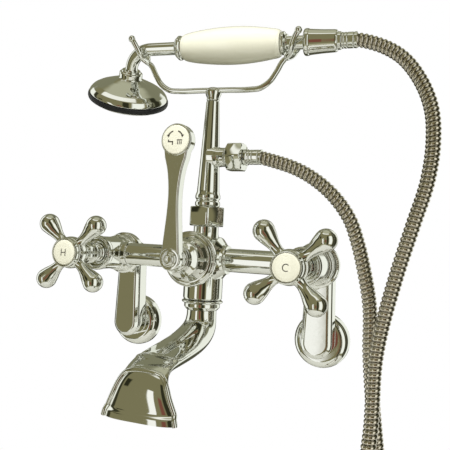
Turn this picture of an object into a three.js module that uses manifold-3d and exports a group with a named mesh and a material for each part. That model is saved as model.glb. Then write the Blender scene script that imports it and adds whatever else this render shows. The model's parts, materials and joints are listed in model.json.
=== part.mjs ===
// Wall mounted bath mixer with a telephone hand shower, in millimetres.
// +Z is up, +Y points into the wall and +X towards the cold side. The origin lies on the wall plane,
// midway between the two water inlets. Most pieces are drawn from the hub, where the bar axis meets
// the riser axis, and the hub group carries them to their place.
import * as THREE from "three";
import { mergeVertices } from "three/addons/utils/BufferGeometryUtils.js";
import Module from "manifold-3d";

const wasm = await Module();
wasm.setup();

// Driving dimensions: layout
const valveSpacing = 183; // hot valve axis to cold valve axis
const wallDistance = 58; // riser axis to the wall
const armDrop = 65.5; // valve axis down to inlet axis
const cradleTurn = THREE.MathUtils.degToRad(4.5); // the cradle's set on the riser
const headRoll = THREE.MathUtils.degToRad(29); // the hand shower's roll in its forks
const coldHandleTurn = THREE.MathUtils.degToRad(5.8); // clockwise, seen from the front

// Driving dimensions: clearances
const gap = 0.3; // between pieces that touch or turn on each other
const threadGap = 0.3; // radial, between a thread and its nut

// Driving dimensions: body
const hubRadius = 16.4;
const hubBottom = -34.4;
const neckTop = 27.2;
const neckRadius = 10.5;
const riserThreadRadius = 8.8;
const riserThreadLength = 9.5;
const barRadius = 9.7;
const hubCollarRadius = 11.5;
const hubCollarReach = 20.5;
const waterway = 6.5;
const valveRadius = 14.2;
const valveFront = 20;
const valveBack = 15;
const valveBore = 10.6;
const inletThreadRadius = 12.5;
const inletThreadLength = 5.6;
const diverterBarrelRadius = 17.5;
const diverterFront = 26;
const diverterBore = 12;

// Driving dimensions: valves and cross handles
const bonnetLength = 6.3;
const stemRadius = 4;
const handlePlane = 60.5; // arms ahead of the bar axis
const handleArmReach = 31.8; // to the middle of a knob
const knobRadius = 8.1;
const handleHubRadius = 12.6;
const buttonRadius = 10.3;
const bezelRadius = 11.4;

// Driving dimensions: diverter lever
const leverReach = 89.7;
const leverHeadRadius = 12.5;
const leverThickness = 8.6;
const leverFront = 65.2;
const leverButtonRadius = 11.2;

// Driving dimensions: arms and wall flanges
const armWidth = 26.6; // at the wall inlet
const armWidthTop = 22.4; // at the valve
const armFront = 29;
const armThickness = 16;
const flangeRadius = 24;
const unionRadius = 18.9;
const inletBore = 9.3;

// Driving dimensions: spout
const spoutNeckRadius = 12.4;
const spoutShankRadius = 11;
const spoutBore = 8;
const spoutWall = 2.2;

// Driving dimensions: riser
const riserNutHeight = 16.1;
const riserNutCorner = 16.3;
const riserNutTurn = THREE.MathUtils.degToRad(24); // where its corners come to rest when tight
const columnFoot = 9.5;
const columnHead = 5.6;
const columnTop = 133.4;
const branchHeight = 86;
const branchThreadRadius = 6.9;
const branchShoulder = 16.9; // where the branch's thread starts
const branchReach = 24.3;
const hoseNutCorner = 12.8;

// Driving dimensions: cradle and hand shower
const cradleBarHeight = 143.3;
const cradleRod = 2.3;
const forkSlack = 1.1; // beside the neck, each side
const gripHeight = 181; // the hand shower's axis above the bar axis
const tubeRadius = 5.5;
const gripStart = -29.3;
const gripLength = 86;
const gripRadius = 15.6;
const headRadius = 35.5;
const headTilt = THREE.MathUtils.degToRad(16.8);
const neckBend = 22.5;

// Driving dimensions: hose
const hoseRadius = 5.7;
const ferruleRadius = 6.6;
const ferruleSleeve = 10.4;
const ferruleFlange = 1.6;
const hoseWasher = 1.2;
const nutLip = 3;

const chrome = { color: 0xd6d8d2, metalness: 1, roughness: 0.06 };
const porcelain = { color: 0xf1ecd2, metalness: 0, roughness: 0.15 };
const rubber = { color: 0x15171a, metalness: 0, roughness: 0.6 };
const brass = { color: 0xb8954f, metalness: 1, roughness: 0.35 };
const steel = { color: 0xa9abab, metalness: 1, roughness: 0.3 };
const spiralSteel = { color: 0xbdb9a6, metalness: 1, roughness: 0.22 };

const assembly = new THREE.Group();
const hub = new THREE.Group();
hub.position.set(0, -wallDistance, armDrop);
assembly.add(hub);

// Turning -------------------------------------------------------------------------------------

// A turned solid about +Y. The profile lists [radius, height]; an open one starts and ends on the axis.
function turned(profile, sides = 12) {
  const closed = profile[0][0] > 0;
  const points = profile.map(([r, h]) => new THREE.Vector2(r, h));
  if (THREE.ShapeUtils.area(points) < 0) points.reverse();
  if (closed) points.push(points[0].clone());
  return new THREE.LatheGeometry(points, sides);
}

const turnedUp = (profile, sides) => turned(profile, sides).rotateX(Math.PI / 2);
const turnedForward = (profile, sides) => turned(profile, sides).rotateX(Math.PI);
const turnedRight = (profile, sides) => turned(profile, sides).rotateZ(-Math.PI / 2);

// A plain cylinder profile, and a plain ring profile, between two heights.
const rod = (r, from, to) => [[0, from], [r, from], [r, to], [0, to]];
const ring = (inner, outer, from, to) => [[inner, from], [outer, from], [outer, to], [inner, to]];

// Six-sided nut: its corner radius is given, and its ends are chamfered.
function hexRing(corner, bore, from, to) {
  const bevel = corner * 0.1;
  const body = [[0, from], [corner - bevel, from], [corner, from + bevel], [corner, to - bevel]];
  return cut(
    solid(turned([...body, [corner - bevel, to], [0, to]], 6)),
    solid(turned(rod(bore, from - 1, to + 1))),
  );
}

// Solids --------------------------------------------------------------------------------------

function solid(geometry) {
  const bare = geometry.index ? geometry.toNonIndexed() : geometry.clone();
  bare.deleteAttribute("normal");
  bare.deleteAttribute("uv");
  const merged = mergeVertices(bare, 1e-4);
  return new wasm.Manifold(
    new wasm.Mesh({
      numProp: 3,
      vertProperties: merged.attributes.position.array,
      triVerts: new Uint32Array(merged.index.array),
    }),
  );
}

const asSolid = (shape) => (shape.isBufferGeometry ? solid(shape) : shape);
const join = (first, ...rest) => rest.reduce((a, b) => a.add(asSolid(b)), asSolid(first));
const cut = (first, ...rest) => rest.reduce((a, b) => a.subtract(asSolid(b)), asSolid(first));

function geometryOf(shape) {
  if (shape.isBufferGeometry) return shape;
  const { vertProperties, triVerts } = shape.getMesh();
  return new THREE.BufferGeometry()
    .setAttribute("position", new THREE.BufferAttribute(new Float32Array(vertProperties), 3))
    .setIndex(new THREE.BufferAttribute(new Uint32Array(triVerts), 1));
}

function piece(name, shape, finish, parent = hub) {
  const mesh = new THREE.Mesh(geometryOf(shape), new THREE.MeshStandardMaterial(finish));
  mesh.name = name;
  parent.add(mesh);
}

function placed(x, y, z, parent = hub) {
  const group = new THREE.Group();
  group.position.set(x, y, z);
  parent.add(group);
  return group;
}

// A round rod along a smooth curve through the given points.
function bentRod(points, radius, steps, sides = 10) {
  const section = new THREE.Shape().absarc(0, 0, radius, 0, 2 * Math.PI);
  return new THREE.ExtrudeGeometry(new THREE.Shape(section.getPoints(sides).slice(0, sides)), {
    steps,
    bevelEnabled: false,
    extrudePath: new THREE.CatmullRomCurve3(points),
  });
}

// A closed skin over a list of rings that have the same number of points, with flat ends.
function loft(rings) {
  const count = rings[0].length;
  const points = rings.flat();
  const faces = [];
  for (let i = 0; i + 1 < rings.length; i++)
    for (let j = 0; j < count; j++) {
      const next = (j + 1) % count;
      const [a, b] = [i * count + j, i * count + next];
      const [c, d] = [a + count, b + count];
      faces.push(a, b, d, a, d, c);
    }
  const end = (rings.length - 1) * count;
  for (let j = 1; j + 1 < count; j++) {
    faces.push(0, j + 1, j);
    faces.push(end, end + j, end + j + 1);
  }
  const flat = points.flatMap((p) => [p.x, p.y, p.z]);
  return new THREE.BufferGeometry()
    .setAttribute("position", new THREE.Float32BufferAttribute(flat, 3))
    .setIndex(faces);
}

// Body ----------------------------------------------------------------------------------------

function mixerBody() {
  const barrel = turnedUp([
    [0, hubBottom],
    [hubRadius, hubBottom],
    [hubRadius, -6],
    [hubRadius + 1, 0],
    [hubRadius - 0.6, 9],
    [neckRadius + 1.4, 17],
    [neckRadius, 19.5],
    [neckRadius, neckTop],
    [riserThreadRadius, neckTop],
    [riserThreadRadius, neckTop + riserThreadLength],
    [0, neckTop + riserThreadLength],
  ], 16);
  const half = valveSpacing / 2;
  const bars = turnedRight([
    [0, -half],
    [barRadius, -half],
    [barRadius, -hubCollarReach],
    [hubCollarRadius, -hubCollarReach],
    [hubCollarRadius, hubCollarReach],
    [barRadius, hubCollarReach],
    [barRadius, half],
    [0, half],
  ]);
  const diverterBarrel = turnedForward(rod(diverterBarrelRadius, 0, diverterFront), 16);
  const valves = [-half, half].map((x) => valveBarrel().translate(x, 0, 0));
  const outside = join(barrel, bars, diverterBarrel, ...valves);
  const crossBore = turnedRight(rod(waterway, -half, half), 12);
  const riserBore = turnedUp(rod(waterway, 0, neckTop + riserThreadLength + 1), 12);
  const spoutBoreUp = turnedUp(rod(waterway, -25, 0), 12);
  const spoutSocket = turnedUp(rod(spoutShankRadius + threadGap, hubBottom - 1, hubBottom + 12));
  const diverterPocket = turnedForward(rod(diverterBore, -8, diverterFront + 1));
  const valvePockets = [-half, half].map((x) =>
    turnedForward([
      [0, -valveBack - inletThreadLength - 1],
      [inletBore - 1.3, -valveBack - inletThreadLength - 1],
      [inletBore - 1.3, -6],
      [valveBore, -6],
      [valveBore, valveFront + 1],
      [0, valveFront + 1],
    ], 16).translate(x, 0, 0),
  );
  return cut(outside, crossBore, riserBore, spoutBoreUp, spoutSocket, diverterPocket, ...valvePockets);
}

// A valve barrel with its stepped back rings and the inlet thread behind them.
function valveBarrel() {
  return turnedForward([
    [0, -valveBack - inletThreadLength],
    [inletThreadRadius, -valveBack - inletThreadLength],
    [inletThreadRadius, -valveBack],
    [valveRadius + 2.2, -valveBack],
    [valveRadius + 2.2, -9.5],
    [valveRadius + 0.9, -8.6],
    [valveRadius + 0.9, -3.4],
    [valveRadius, -2.4],
    [valveRadius, valveFront],
    [0, valveFront],
  ], 16);
}

// Valve insides and cross handles -------------------------------------------------------------

const bonnetFront = valveFront + gap + bonnetLength;
const cartridgeRadius = 8;
const glandFront = bonnetFront + 4.5;
const skirtStart = glandFront + 2.4;
const stemFront = handlePlane - 4.5;
const webFront = stemFront + gap + 2.5;
const handleFace = handlePlane + 5;

// Threaded bonnet: a rim around a concave face, with the cartridge through its middle.
function bonnet() {
  const base = valveFront + gap;
  return turnedForward([
    [cartridgeRadius + gap, base - 8],
    [valveBore - threadGap, base - 8],
    [valveBore - threadGap, base],
    [valveRadius, base],
    [valveRadius + 0.5, base + 1.2],
    [valveRadius, bonnetFront - 1],
    [valveRadius - 0.7, bonnetFront],
    [valveRadius - 1.8, bonnetFront - 0.4],
    [cartridgeRadius + 1.6, bonnetFront - 3.2],
    [cartridgeRadius + gap, bonnetFront - 3.2],
  ], 16);
}

function cartridge() {
  const bore = stemRadius + gap;
  return turnedForward([
    [2.6, -4],
    [cartridgeRadius, -4],
    [cartridgeRadius, bonnetFront - 2.4],
    [cartridgeRadius - 1.6, bonnetFront - 1.6],
    [cartridgeRadius - 1.6, glandFront],
    [bore, glandFront],
    [bore, 6],
    [2.6, 6],
  ], 16);
}

const stem = () => turnedForward([
  [0, 6 + gap],
  [stemRadius, 6 + gap],
  [stemRadius, stemFront],
  [2.3, stemFront],
  [2.3, stemFront - 9],
  [0, stemFront - 9],
], 12);

// One arm of the cross, along +Y from the handle's middle: a slim waist and a round knob.
function crossArm() {
  const tip = handleArmReach + knobRadius;
  return turned([
    [0, handleHubRadius - 4],
    [4.9, handleHubRadius - 4],
    [4.1, handleHubRadius + 1.5],
    [0.7 * knobRadius, handleArmReach - 1.4 * knobRadius],
    [0.92 * knobRadius, handleArmReach - 0.65 * knobRadius],
    [knobRadius, handleArmReach],
    [0.75 * knobRadius, handleArmReach + 0.65 * knobRadius],
    [0, tip],
  ], 8);
}

function crossHandle() {
  const outside = turnedForward([
    [0, skirtStart],
    [cartridgeRadius + 0.6, skirtStart],
    [cartridgeRadius + 0.9, skirtStart + 2],
    [cartridgeRadius - 0.6, skirtStart + 7],
    [cartridgeRadius, skirtStart + 11],
    [handleHubRadius - 3.6, skirtStart + 15],
    [handleHubRadius - 0.4, handlePlane - 5],
    [handleHubRadius, handlePlane],
    [handleHubRadius - 0.9, handleFace],
    [0, handleFace],
  ]);
  const arms = [0, 1, 2, 3].map((i) =>
    crossArm()
      .rotateX(Math.PI / 2)
      .rotateY(Math.PI / 4 + (i * Math.PI) / 2)
      .translate(0, -handlePlane, 0),
  );
  const bore = turnedForward([
    [0, skirtStart - 1],
    [cartridgeRadius - 1.6 + gap + 0.2, skirtStart - 1],
    [cartridgeRadius - 1.6 + gap + 0.2, skirtStart + 4],
    [stemRadius + gap, skirtStart + 5],
    [stemRadius + gap, stemFront + gap],
    [2.4, stemFront + gap],
    [2.4, webFront],
    [6.3, webFront],
    [6.3, handleFace + 1],
    [0, handleFace + 1],
  ]);
  return cut(join(outside, ...arms), bore);
}

function panScrew(shank, head, from, seat) {
  const top = seat + 2.4;
  return turnedForward([
    [0, from],
    [shank, from],
    [shank, seat],
    [head, seat],
    [head, top - 0.6],
    [head - 0.8, top],
    [0, top],
  ], 12);
}

// The bezel's spigot screws into the handle, and its cup holds the porcelain button.
function bezel() {
  const back = handleFace + gap;
  return turnedForward([
    [4.6, back - 3.2],
    [6, back - 3.2],
    [6, back],
    [bezelRadius - 0.7, back],
    [bezelRadius, back + 1],
    [bezelRadius, back + 3.6],
    [bezelRadius - 0.5, back + 4.2],
    [buttonRadius + gap, back + 4.2],
    [buttonRadius + gap, back + 1.4],
    [4.6, back + 1.4],
  ]);
}

function button(radius, back, rim, crown) {
  return turnedForward([
    [0, back],
    [radius, back],
    [radius, rim],
    [radius * 0.93, rim + crown * 0.5],
    [radius * 0.6, rim + crown * 0.85],
    [0, rim + crown],
  ]);
}

function valveSet(side, x, turn) {
  const valve = placed(x, 0, 0);
  const handle = placed(0, 0, 0, valve);
  handle.rotation.y = turn;
  piece(side + "_bonnet", bonnet(), chrome, valve);
  piece(side + "_cartridge", cartridge(), brass, valve);
  piece(side + "_stem", stem(), brass, handle);
  piece(side + "_cross_handle", crossHandle(), chrome, handle);
  piece(side + "_handle_screw", panScrew(2, 3.9, stemFront - 8, webFront + gap), steel, handle);
  piece(side + "_index_bezel", bezel(), chrome, handle);
  const seat = handleFace + 2 * gap + 1.4;
  piece(side + "_index_button", button(buttonRadius, seat, handleFace + 4.4, 0.9), porcelain, handle);
}

// Arms and wall flanges -----------------------------------------------------------------------

const armBack = armFront + armThickness;
const collarRadius = inletThreadRadius - 0.1;
const collarStart = valveBack + inletThreadLength + 1.8;
const sleeveRadius = 10;
const washerStart = valveBack + inletThreadLength + gap;
const bushingDepth = 7.4;

// Union nut that holds an arm's collar against the valve's inlet thread.
function unionNut() {
  const front = valveBack + gap;
  const lip = collarStart + 1 + gap;
  return turned([
    [inletThreadRadius + threadGap, front],
    [valveRadius + 2.4, front],
    [valveRadius + 2.4, front + 2.4],
    [unionRadius, front + 3.4],
    [unionRadius, lip + 1],
    [unionRadius - 1.2, lip + 2.1],
    [sleeveRadius + gap, lip + 2.1],
    [sleeveRadius + gap, lip],
    [inletThreadRadius + threadGap, lip],
  ], 16);
}

// Offset arm: a rounded bar that leads the water from the valve down to the wall inlet.
function swingArm() {
  const bevel = 2.2;
  const outline = new THREE.Shape();
  outline.absarc(0, 0, armWidthTop / 2 - bevel, 0, Math.PI, false);
  outline.absarc(0, -armDrop, armWidth / 2 - bevel, Math.PI, 2 * Math.PI, false);
  const bar = new THREE.ExtrudeGeometry(outline, {
    depth: armThickness - 2 * bevel,
    bevelThickness: bevel,
    bevelSize: bevel,
    bevelSegments: 1,
    curveSegments: 8,
  });
  bar.rotateX(Math.PI / 2).translate(0, armBack - bevel, 0);
  const collar = turned([
    [0, collarStart],
    [collarRadius, collarStart],
    [collarRadius, collarStart + 1],
    [sleeveRadius, collarStart + 1],
    [sleeveRadius, armFront + 3],
    [0, armFront + 3],
  ]);
  const tail = turned(rod(flangeRadius / 2, armBack - 2, armBack + 4)).translate(0, 0, -armDrop);
  const middle = armFront + armThickness / 2;
  const pivotBore = turned(rod(inletBore - 1.8, collarStart - 1, middle), 12);
  const inlet = turned(rod(inletBore - 1.8, middle, armBack + 5), 12).translate(0, 0, -armDrop);
  const channel = turnedUp(rod(5.5, -armDrop, 0), 12).translate(0, middle, 0);
  return cut(join(bar, collar, tail), pivotBore, inlet, channel);
}

function wallFlange() {
  const front = armBack + gap;
  const bushing = wallDistance - bushingDepth - gap;
  const depth = wallDistance - front;
  return turned([
    [flangeRadius / 2 + gap, front],
    [flangeRadius * 0.76, front],
    [flangeRadius * 0.9, front + 0.14 * depth],
    [flangeRadius * 0.98, front + 0.34 * depth],
    [flangeRadius, front + 0.6 * depth],
    [flangeRadius, wallDistance],
    [15.3, wallDistance],
    [15.3, bushing - gap],
    [flangeRadius / 2 + gap, bushing - gap],
  ], 16).translate(0, 0, -armDrop);
}

function armSet(side, x) {
  const arm = placed(x, 0, 0);
  const bushingEnd = wallDistance - gap;
  const bushing = ring(inletBore, 15, bushingEnd - bushingDepth, bushingEnd);
  piece(side + "_union_nut", unionNut(), chrome, arm);
  piece(side + "_swivel_washer", turned(ring(8.3, 12.2, washerStart, washerStart + 1.2)), rubber, arm);
  piece(side + "_swing_arm", swingArm(), chrome, arm);
  piece(side + "_wall_flange", wallFlange(), chrome, arm);
  piece(side + "_inlet_bushing", turned(bushing, 6).translate(0, 0, -armDrop), brass, arm);
}

// Diverter ------------------------------------------------------------------------------------

const diverterStemRadius = 5;
const leverBack = leverFront - leverThickness;
const diverterTop = leverBack - 1.6;

function diverterBonnet() {
  const base = diverterFront + gap;
  return turnedForward([
    [diverterStemRadius + gap, base],
    [21.6, base],
    [22.3, base + 1.4],
    [22.3, base + 3.6],
    [20.6, base + 5.4],
    [17.4, base + 6.6],
    [15.2, base + 9.2],
    [13.4, base + 14],
    [13.4, base + 16],
    [14.2, base + 17],
    [14.2, base + 19.6],
    [12.6, base + 21],
    [9.8, base + 22],
    [9.8, diverterTop],
    [diverterStemRadius + gap, diverterTop],
  ], 16);
}

function diverterCartridge() {
  const outer = diverterBore - gap;
  const body = turnedForward([
    [0, -8 + gap],
    [outer, -8 + gap],
    [outer, diverterFront - 0.6],
    [diverterStemRadius + gap, diverterFront - 0.6],
    [diverterStemRadius + gap, 6],
    [0, 6],
  ]);
  const ports = [turnedRight(rod(4, -20, 16), 12), turnedUp(rod(4, -20, 16), 12)];
  return cut(body, ...ports);
}

const diverterStem = () => turnedForward([
  [0, 6 + gap],
  [diverterStemRadius, 6 + gap],
  [diverterStemRadius, leverFront - 5],
  [2.4, leverFront - 5],
  [2.4, leverFront - 16],
  [0, leverFront - 16],
], 12);

// The lever's outline: a round hub, a waisted stem and a round head that holds the button.
function leverOutline() {
  const shape = new THREE.Shape();
  shape.absarc(0, 0, 8.4, (-4 * Math.PI) / 3 + 0.25, Math.PI / 3 - 0.25, false);
  shape.splineThru([
    new THREE.Vector2(5.2, 14),
    new THREE.Vector2(5, 22),
    new THREE.Vector2(3.4, 40),
    new THREE.Vector2(3.5, 54),
    new THREE.Vector2(5, 68),
    new THREE.Vector2(8, 78.6),
  ]);
  shape.absarc(0, leverReach, leverHeadRadius - 1.2, -0.9, Math.PI + 0.9, false);
  shape.splineThru([
    new THREE.Vector2(-5, 68),
    new THREE.Vector2(-3.5, 54),
    new THREE.Vector2(-3.4, 40),
    new THREE.Vector2(-5, 22),
    new THREE.Vector2(-5.2, 14),
  ]);
  return shape;
}

function lever() {
  const bevel = 1.2;
  const bar = new THREE.ExtrudeGeometry(leverOutline(), {
    depth: leverThickness - 2 * bevel,
    bevelThickness: bevel,
    bevelSize: bevel,
    bevelSegments: 1,
    curveSegments: 4,
  });
  bar.rotateX(Math.PI / 2).translate(0, -leverBack - bevel, 0);
  const boss = turnedForward(rod(9.4, leverBack - 1.2, leverFront - 0.6));
  const stemHole = turnedForward([
    [0, leverBack - 3],
    [diverterStemRadius + gap, leverBack - 3],
    [diverterStemRadius + gap, leverFront - 5 + gap],
    [2.6, leverFront - 5 + gap],
    [2.6, leverFront + 1],
    [0, leverFront + 1],
  ]);
  const recess = turnedForward(rod(leverButtonRadius + gap, leverFront - 2, leverFront + 2));
  return cut(join(bar, boss), stemHole, recess.translate(0, 0, leverReach));
}

function diverterSet() {
  piece("diverter_bonnet", diverterBonnet(), chrome);
  piece("diverter_cartridge", diverterCartridge(), brass);
  piece("diverter_stem", diverterStem(), brass);
  piece("diverter_lever", lever(), chrome);
  piece("diverter_screw", panScrew(2.1, 5.2, leverFront - 14, leverFront + gap), chrome);
  const face = leverFront - 2 + gap;
  const disc = button(leverButtonRadius, face, face + 2, 0.8).translate(0, 0, leverReach);
  piece("diverter_button", disc, porcelain);
}

// Spout ---------------------------------------------------------------------------------------

const spoutCollarTop = hubBottom - gap;
const spoutNeckStart = hubBottom - 8.6;

// One section of the spout: side edges at (y, z) and half width w, crown c towards the outside
// direction, depth d to the inside. tilt is the outside direction's angle above straight ahead, and
// bend is the inside curve's power: 2 is an ellipse, less is sharper.
const spoutStations = [
  { y: 0, z: -43, tilt: 0, w: 12.4, c: 12.4, d: 12.4, bend: 2 },
  { y: 0, z: -49, tilt: 0, w: 12.4, c: 12.4, d: 12.4, bend: 2 },
  { y: -2, z: -57, tilt: 25, w: 14, c: 11, d: 12.5, bend: 2 },
  { y: -16, z: -63.5, tilt: 55, w: 16.5, c: 7, d: 13, bend: 1.9 },
  { y: -34, z: -66.8, tilt: 66, w: 17.5, c: 4.6, d: 14, bend: 1.75 },
  { y: -52, z: -69.2, tilt: 72, w: 18.2, c: 3.6, d: 13.5, bend: 1.6 },
  { y: -68, z: -71.5, tilt: 68, w: 18, c: 3.2, d: 13, bend: 1.5 },
  { y: -81, z: -74, tilt: 56, w: 17, c: 3.4, d: 12.5, bend: 1.5 },
  { y: -91, z: -78.5, tilt: 34, w: 17, c: 3.6, d: 13, bend: 1.45 },
  { y: -95.8, z: -88, tilt: 10, w: 20.3, c: 3.4, d: 13.8, bend: 1.4 },
  { y: -96.1, z: -98, tilt: 0, w: 23.8, c: 3.6, d: 18.6, bend: 1.35 },
  { y: -96, z: -105.6, tilt: -2, w: 27.8, c: 3.8, d: 23.5, bend: 1.35 },
  { y: -96, z: -111, tilt: 0, w: 28.6, c: 3.8, d: 25, bend: 1.35 },
];

function spoutSection({ y, z, tilt, w, c, d, bend }) {
  const sides = 16;
  const up = THREE.MathUtils.degToRad(tilt);
  return Array.from({ length: sides }, (_, i) => {
    const turn = (2 * Math.PI * i) / sides;
    const across = Math.cos(turn);
    const outward = Math.sin(turn);
    const power = outward < 0 ? 2 / bend : 1;
    const a = w * Math.sign(across) * Math.abs(across) ** power;
    const b = outward < 0 ? -d * Math.abs(outward) ** power : c * outward;
    return new THREE.Vector3(a, y - b * Math.cos(up), z + b * Math.sin(up));
  });
}

// The same section one wall inside: its widest line moves in where the crown is low.
function insideSection(station) {
  const inset = Math.min(1, spoutWall / station.c) * spoutWall;
  const up = THREE.MathUtils.degToRad(station.tilt);
  return spoutSection({
    ...station,
    y: station.y + inset * Math.cos(up),
    z: station.z - inset * Math.sin(up),
    w: station.w - 1.3 * spoutWall,
    c: station.c - spoutWall + inset,
    d: station.d - spoutWall - inset,
  });
}

function spout() {
  const shank = turnedUp([
    [0, hubBottom + 11.4],
    [spoutShankRadius, hubBottom + 11.4],
    [spoutShankRadius, hubBottom + 8],
    [spoutShankRadius - 1.6, hubBottom + 8],
    [spoutShankRadius - 1.6, hubBottom + 5],
    [spoutShankRadius, hubBottom + 5],
    [spoutShankRadius, spoutNeckStart],
    [spoutNeckRadius, spoutNeckStart],
    [spoutNeckRadius, spoutNeckStart - 3],
    [0, spoutNeckStart - 3],
  ].reverse());
  const shell = loft(spoutStations.map(spoutSection));
  const last = spoutStations.at(-1);
  const mouth = { ...last, z: last.z - 3 };
  const cavity = loft([...spoutStations, mouth].map(insideSection));
  const bore = turnedUp(rod(spoutBore, spoutNeckStart - 3, hubBottom + 13), 16);
  return cut(join(shank, shell), cavity, bore);
}

function spoutSet() {
  const collar = turnedUp([
    [spoutShankRadius + gap, spoutCollarTop],
    [hubRadius + 0.4, spoutCollarTop],
    [hubRadius + 0.4, spoutCollarTop - 1.4],
    [hubRadius - 1.6, spoutCollarTop - 2],
    [hubRadius - 1.6, spoutNeckStart + 2.2],
    [spoutNeckRadius + 0.6, spoutNeckStart + gap],
    [spoutShankRadius + gap, spoutNeckStart + gap],
  ], 16);
  const groove = hubBottom + 6.5;
  const seal = turnedUp(ring(spoutShankRadius - 1.6 + gap, spoutShankRadius, groove - 1.1, groove + 1.1));
  piece("spout_collar", collar, chrome);
  piece("spout_o_ring", seal, rubber);
  piece("spout", spout(), chrome);
}

// Riser ---------------------------------------------------------------------------------------

const riserThreadTop = neckTop + riserThreadLength;
const riserNutTop = neckTop + gap + riserNutHeight;
const tailFlange = riserThreadTop + 1.7;
const tailRadius = 7.4;

function riserNut() {
  const top = riserNutTop;
  const ring = geometryOf(hexRing(riserNutCorner, tailRadius + gap, neckTop + gap, top));
  const blank = solid(ring.rotateX(Math.PI / 2).rotateZ(riserNutTurn));
  const thread = turnedUp(rod(riserThreadRadius + threadGap, neckTop - 1, tailFlange + 2.4 + gap), 16);
  return cut(blank, thread);
}

function riserColumn() {
  const bead = riserNutTop + gap;
  const outside = turnedUp([
    [0, tailFlange],
    [riserThreadRadius - 0.1, tailFlange],
    [riserThreadRadius - 0.1, tailFlange + 2.4],
    [tailRadius, tailFlange + 2.4],
    [tailRadius, bead],
    [9.6, bead],
    [10.5, bead + 1.2],
    [10.5, bead + 4],
    [9.5, bead + 5.4],
    [10.5, bead + 6.8],
    [10.5, bead + 11],
    [columnFoot, bead + 12.6],
    [columnHead, columnTop],
    [2.6, columnTop],
    [2.6, columnTop + 5],
    [0, columnTop + 5],
  ]);
  const branch = turnedRight([
    [0, 0],
    [8, 0],
    [8, branchShoulder - 2.3],
    [7.4, branchShoulder],
    [branchThreadRadius, branchShoulder],
    [branchThreadRadius, branchReach],
    [0, branchReach],
  ]).translate(0, 0, branchHeight);
  const bore = turnedUp(rod(4.6, tailFlange - 1, branchHeight + 4), 12);
  const branchBore = turnedRight(rod(4, 0, branchReach + 1), 12).translate(0, 0, branchHeight);
  return cut(join(outside, branch), bore, branchBore);
}

// A hose end along +X: washer, hex or tapered nut, and crimped ferrule. thread is the male thread
// that the nut runs on, and reach is that thread's end.
function hoseEnd(prefix, thread, start, reach, nut, parent) {
  const washerEnd = reach + gap + hoseWasher;
  const flangeEnd = washerEnd + gap + ferruleFlange;
  const nutEnd = flangeEnd + gap + nutLip;
  const bore = turnedRight(rod(thread + threadGap, start - 1, flangeEnd + gap));
  const ferrule = turnedRight([
    [3, washerEnd + gap],
    [thread - 0.1, washerEnd + gap],
    [thread - 0.1, flangeEnd],
    [5, flangeEnd],
    [5, nutEnd + gap],
    [ferruleRadius, nutEnd + gap],
    [ferruleRadius, nutEnd + 3.4],
    [ferruleRadius - 0.5, nutEnd + 4],
    [ferruleRadius - 0.5, nutEnd + ferruleSleeve],
    [3, nutEnd + ferruleSleeve],
  ], 16);
  const washer = ring(3.4, thread - 0.2, reach + gap, washerEnd);
  piece(prefix + "_washer", turnedRight(washer, 16), rubber, parent);
  piece(prefix + "_nut", cut(nut(5 + gap, start + gap, nutEnd), bore), chrome, parent);
  piece(prefix + "_ferrule", ferrule, chrome, parent);
}

// Where the hose begins, past the ferrule of a thread that ends at reach.
const hoseFrom = (reach) => reach + 4 * gap + hoseWasher + ferruleFlange + nutLip + ferruleSleeve;

const hexNutRight = (bore, from, to) =>
  solid(geometryOf(hexRing(hoseNutCorner, bore, from, to)).rotateY(Math.PI / 6).rotateZ(-Math.PI / 2));

const taperedNutRight = (bore, from, to) =>
  turnedRight([
    [bore, from],
    [10.2, from],
    [10.9, from + 0.8],
    [10.9, from + 3],
    [8.9, to - 1],
    [8.2, to],
    [bore, to],
  ], 16);

function riserSet() {
  const washer = ring(5, riserThreadRadius - 0.2, riserThreadTop + gap, tailFlange - gap);
  piece("riser_nut", riserNut(), chrome);
  piece("riser_washer", turnedUp(washer), rubber);
  piece("riser_column", riserColumn(), chrome);
  const branch = placed(0, 0, branchHeight);
  hoseEnd("hose_lower", branchThreadRadius, branchShoulder, branchReach, hexNutRight, branch);
}

// Cradle --------------------------------------------------------------------------------------

const forkFoot = [61.5, cradleBarHeight + 25.5];

// Half of a fork, from its foot under the neck to the tip of one prong.
const prong = (side) => [
  new THREE.Vector3(forkFoot[0] + 4, side * 4.4, gripHeight - 9.5),
  new THREE.Vector3(forkFoot[0] + 5.8, side * (tubeRadius + cradleRod + forkSlack), gripHeight - 5),
  new THREE.Vector3(forkFoot[0] + 8.5, side * 11.6, gripHeight + 0.5),
  new THREE.Vector3(forkFoot[0] + 11.7, side * 12.9, gripHeight + 5.8),
];

function fork() {
  const foot = new THREE.Vector3(forkFoot[0], 0, forkFoot[1]);
  const rodThrough = bentRod([...prong(-1).reverse(), foot, ...prong(1)], cradleRod, 12, 6);
  const tips = [-1, 1].map((side) => {
    const end = prong(side)[3];
    return new THREE.SphereGeometry(cradleRod + 0.4, 6, 4).translate(end.x, end.y, end.z);
  });
  return join(rodThrough, ...tips);
}

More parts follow.
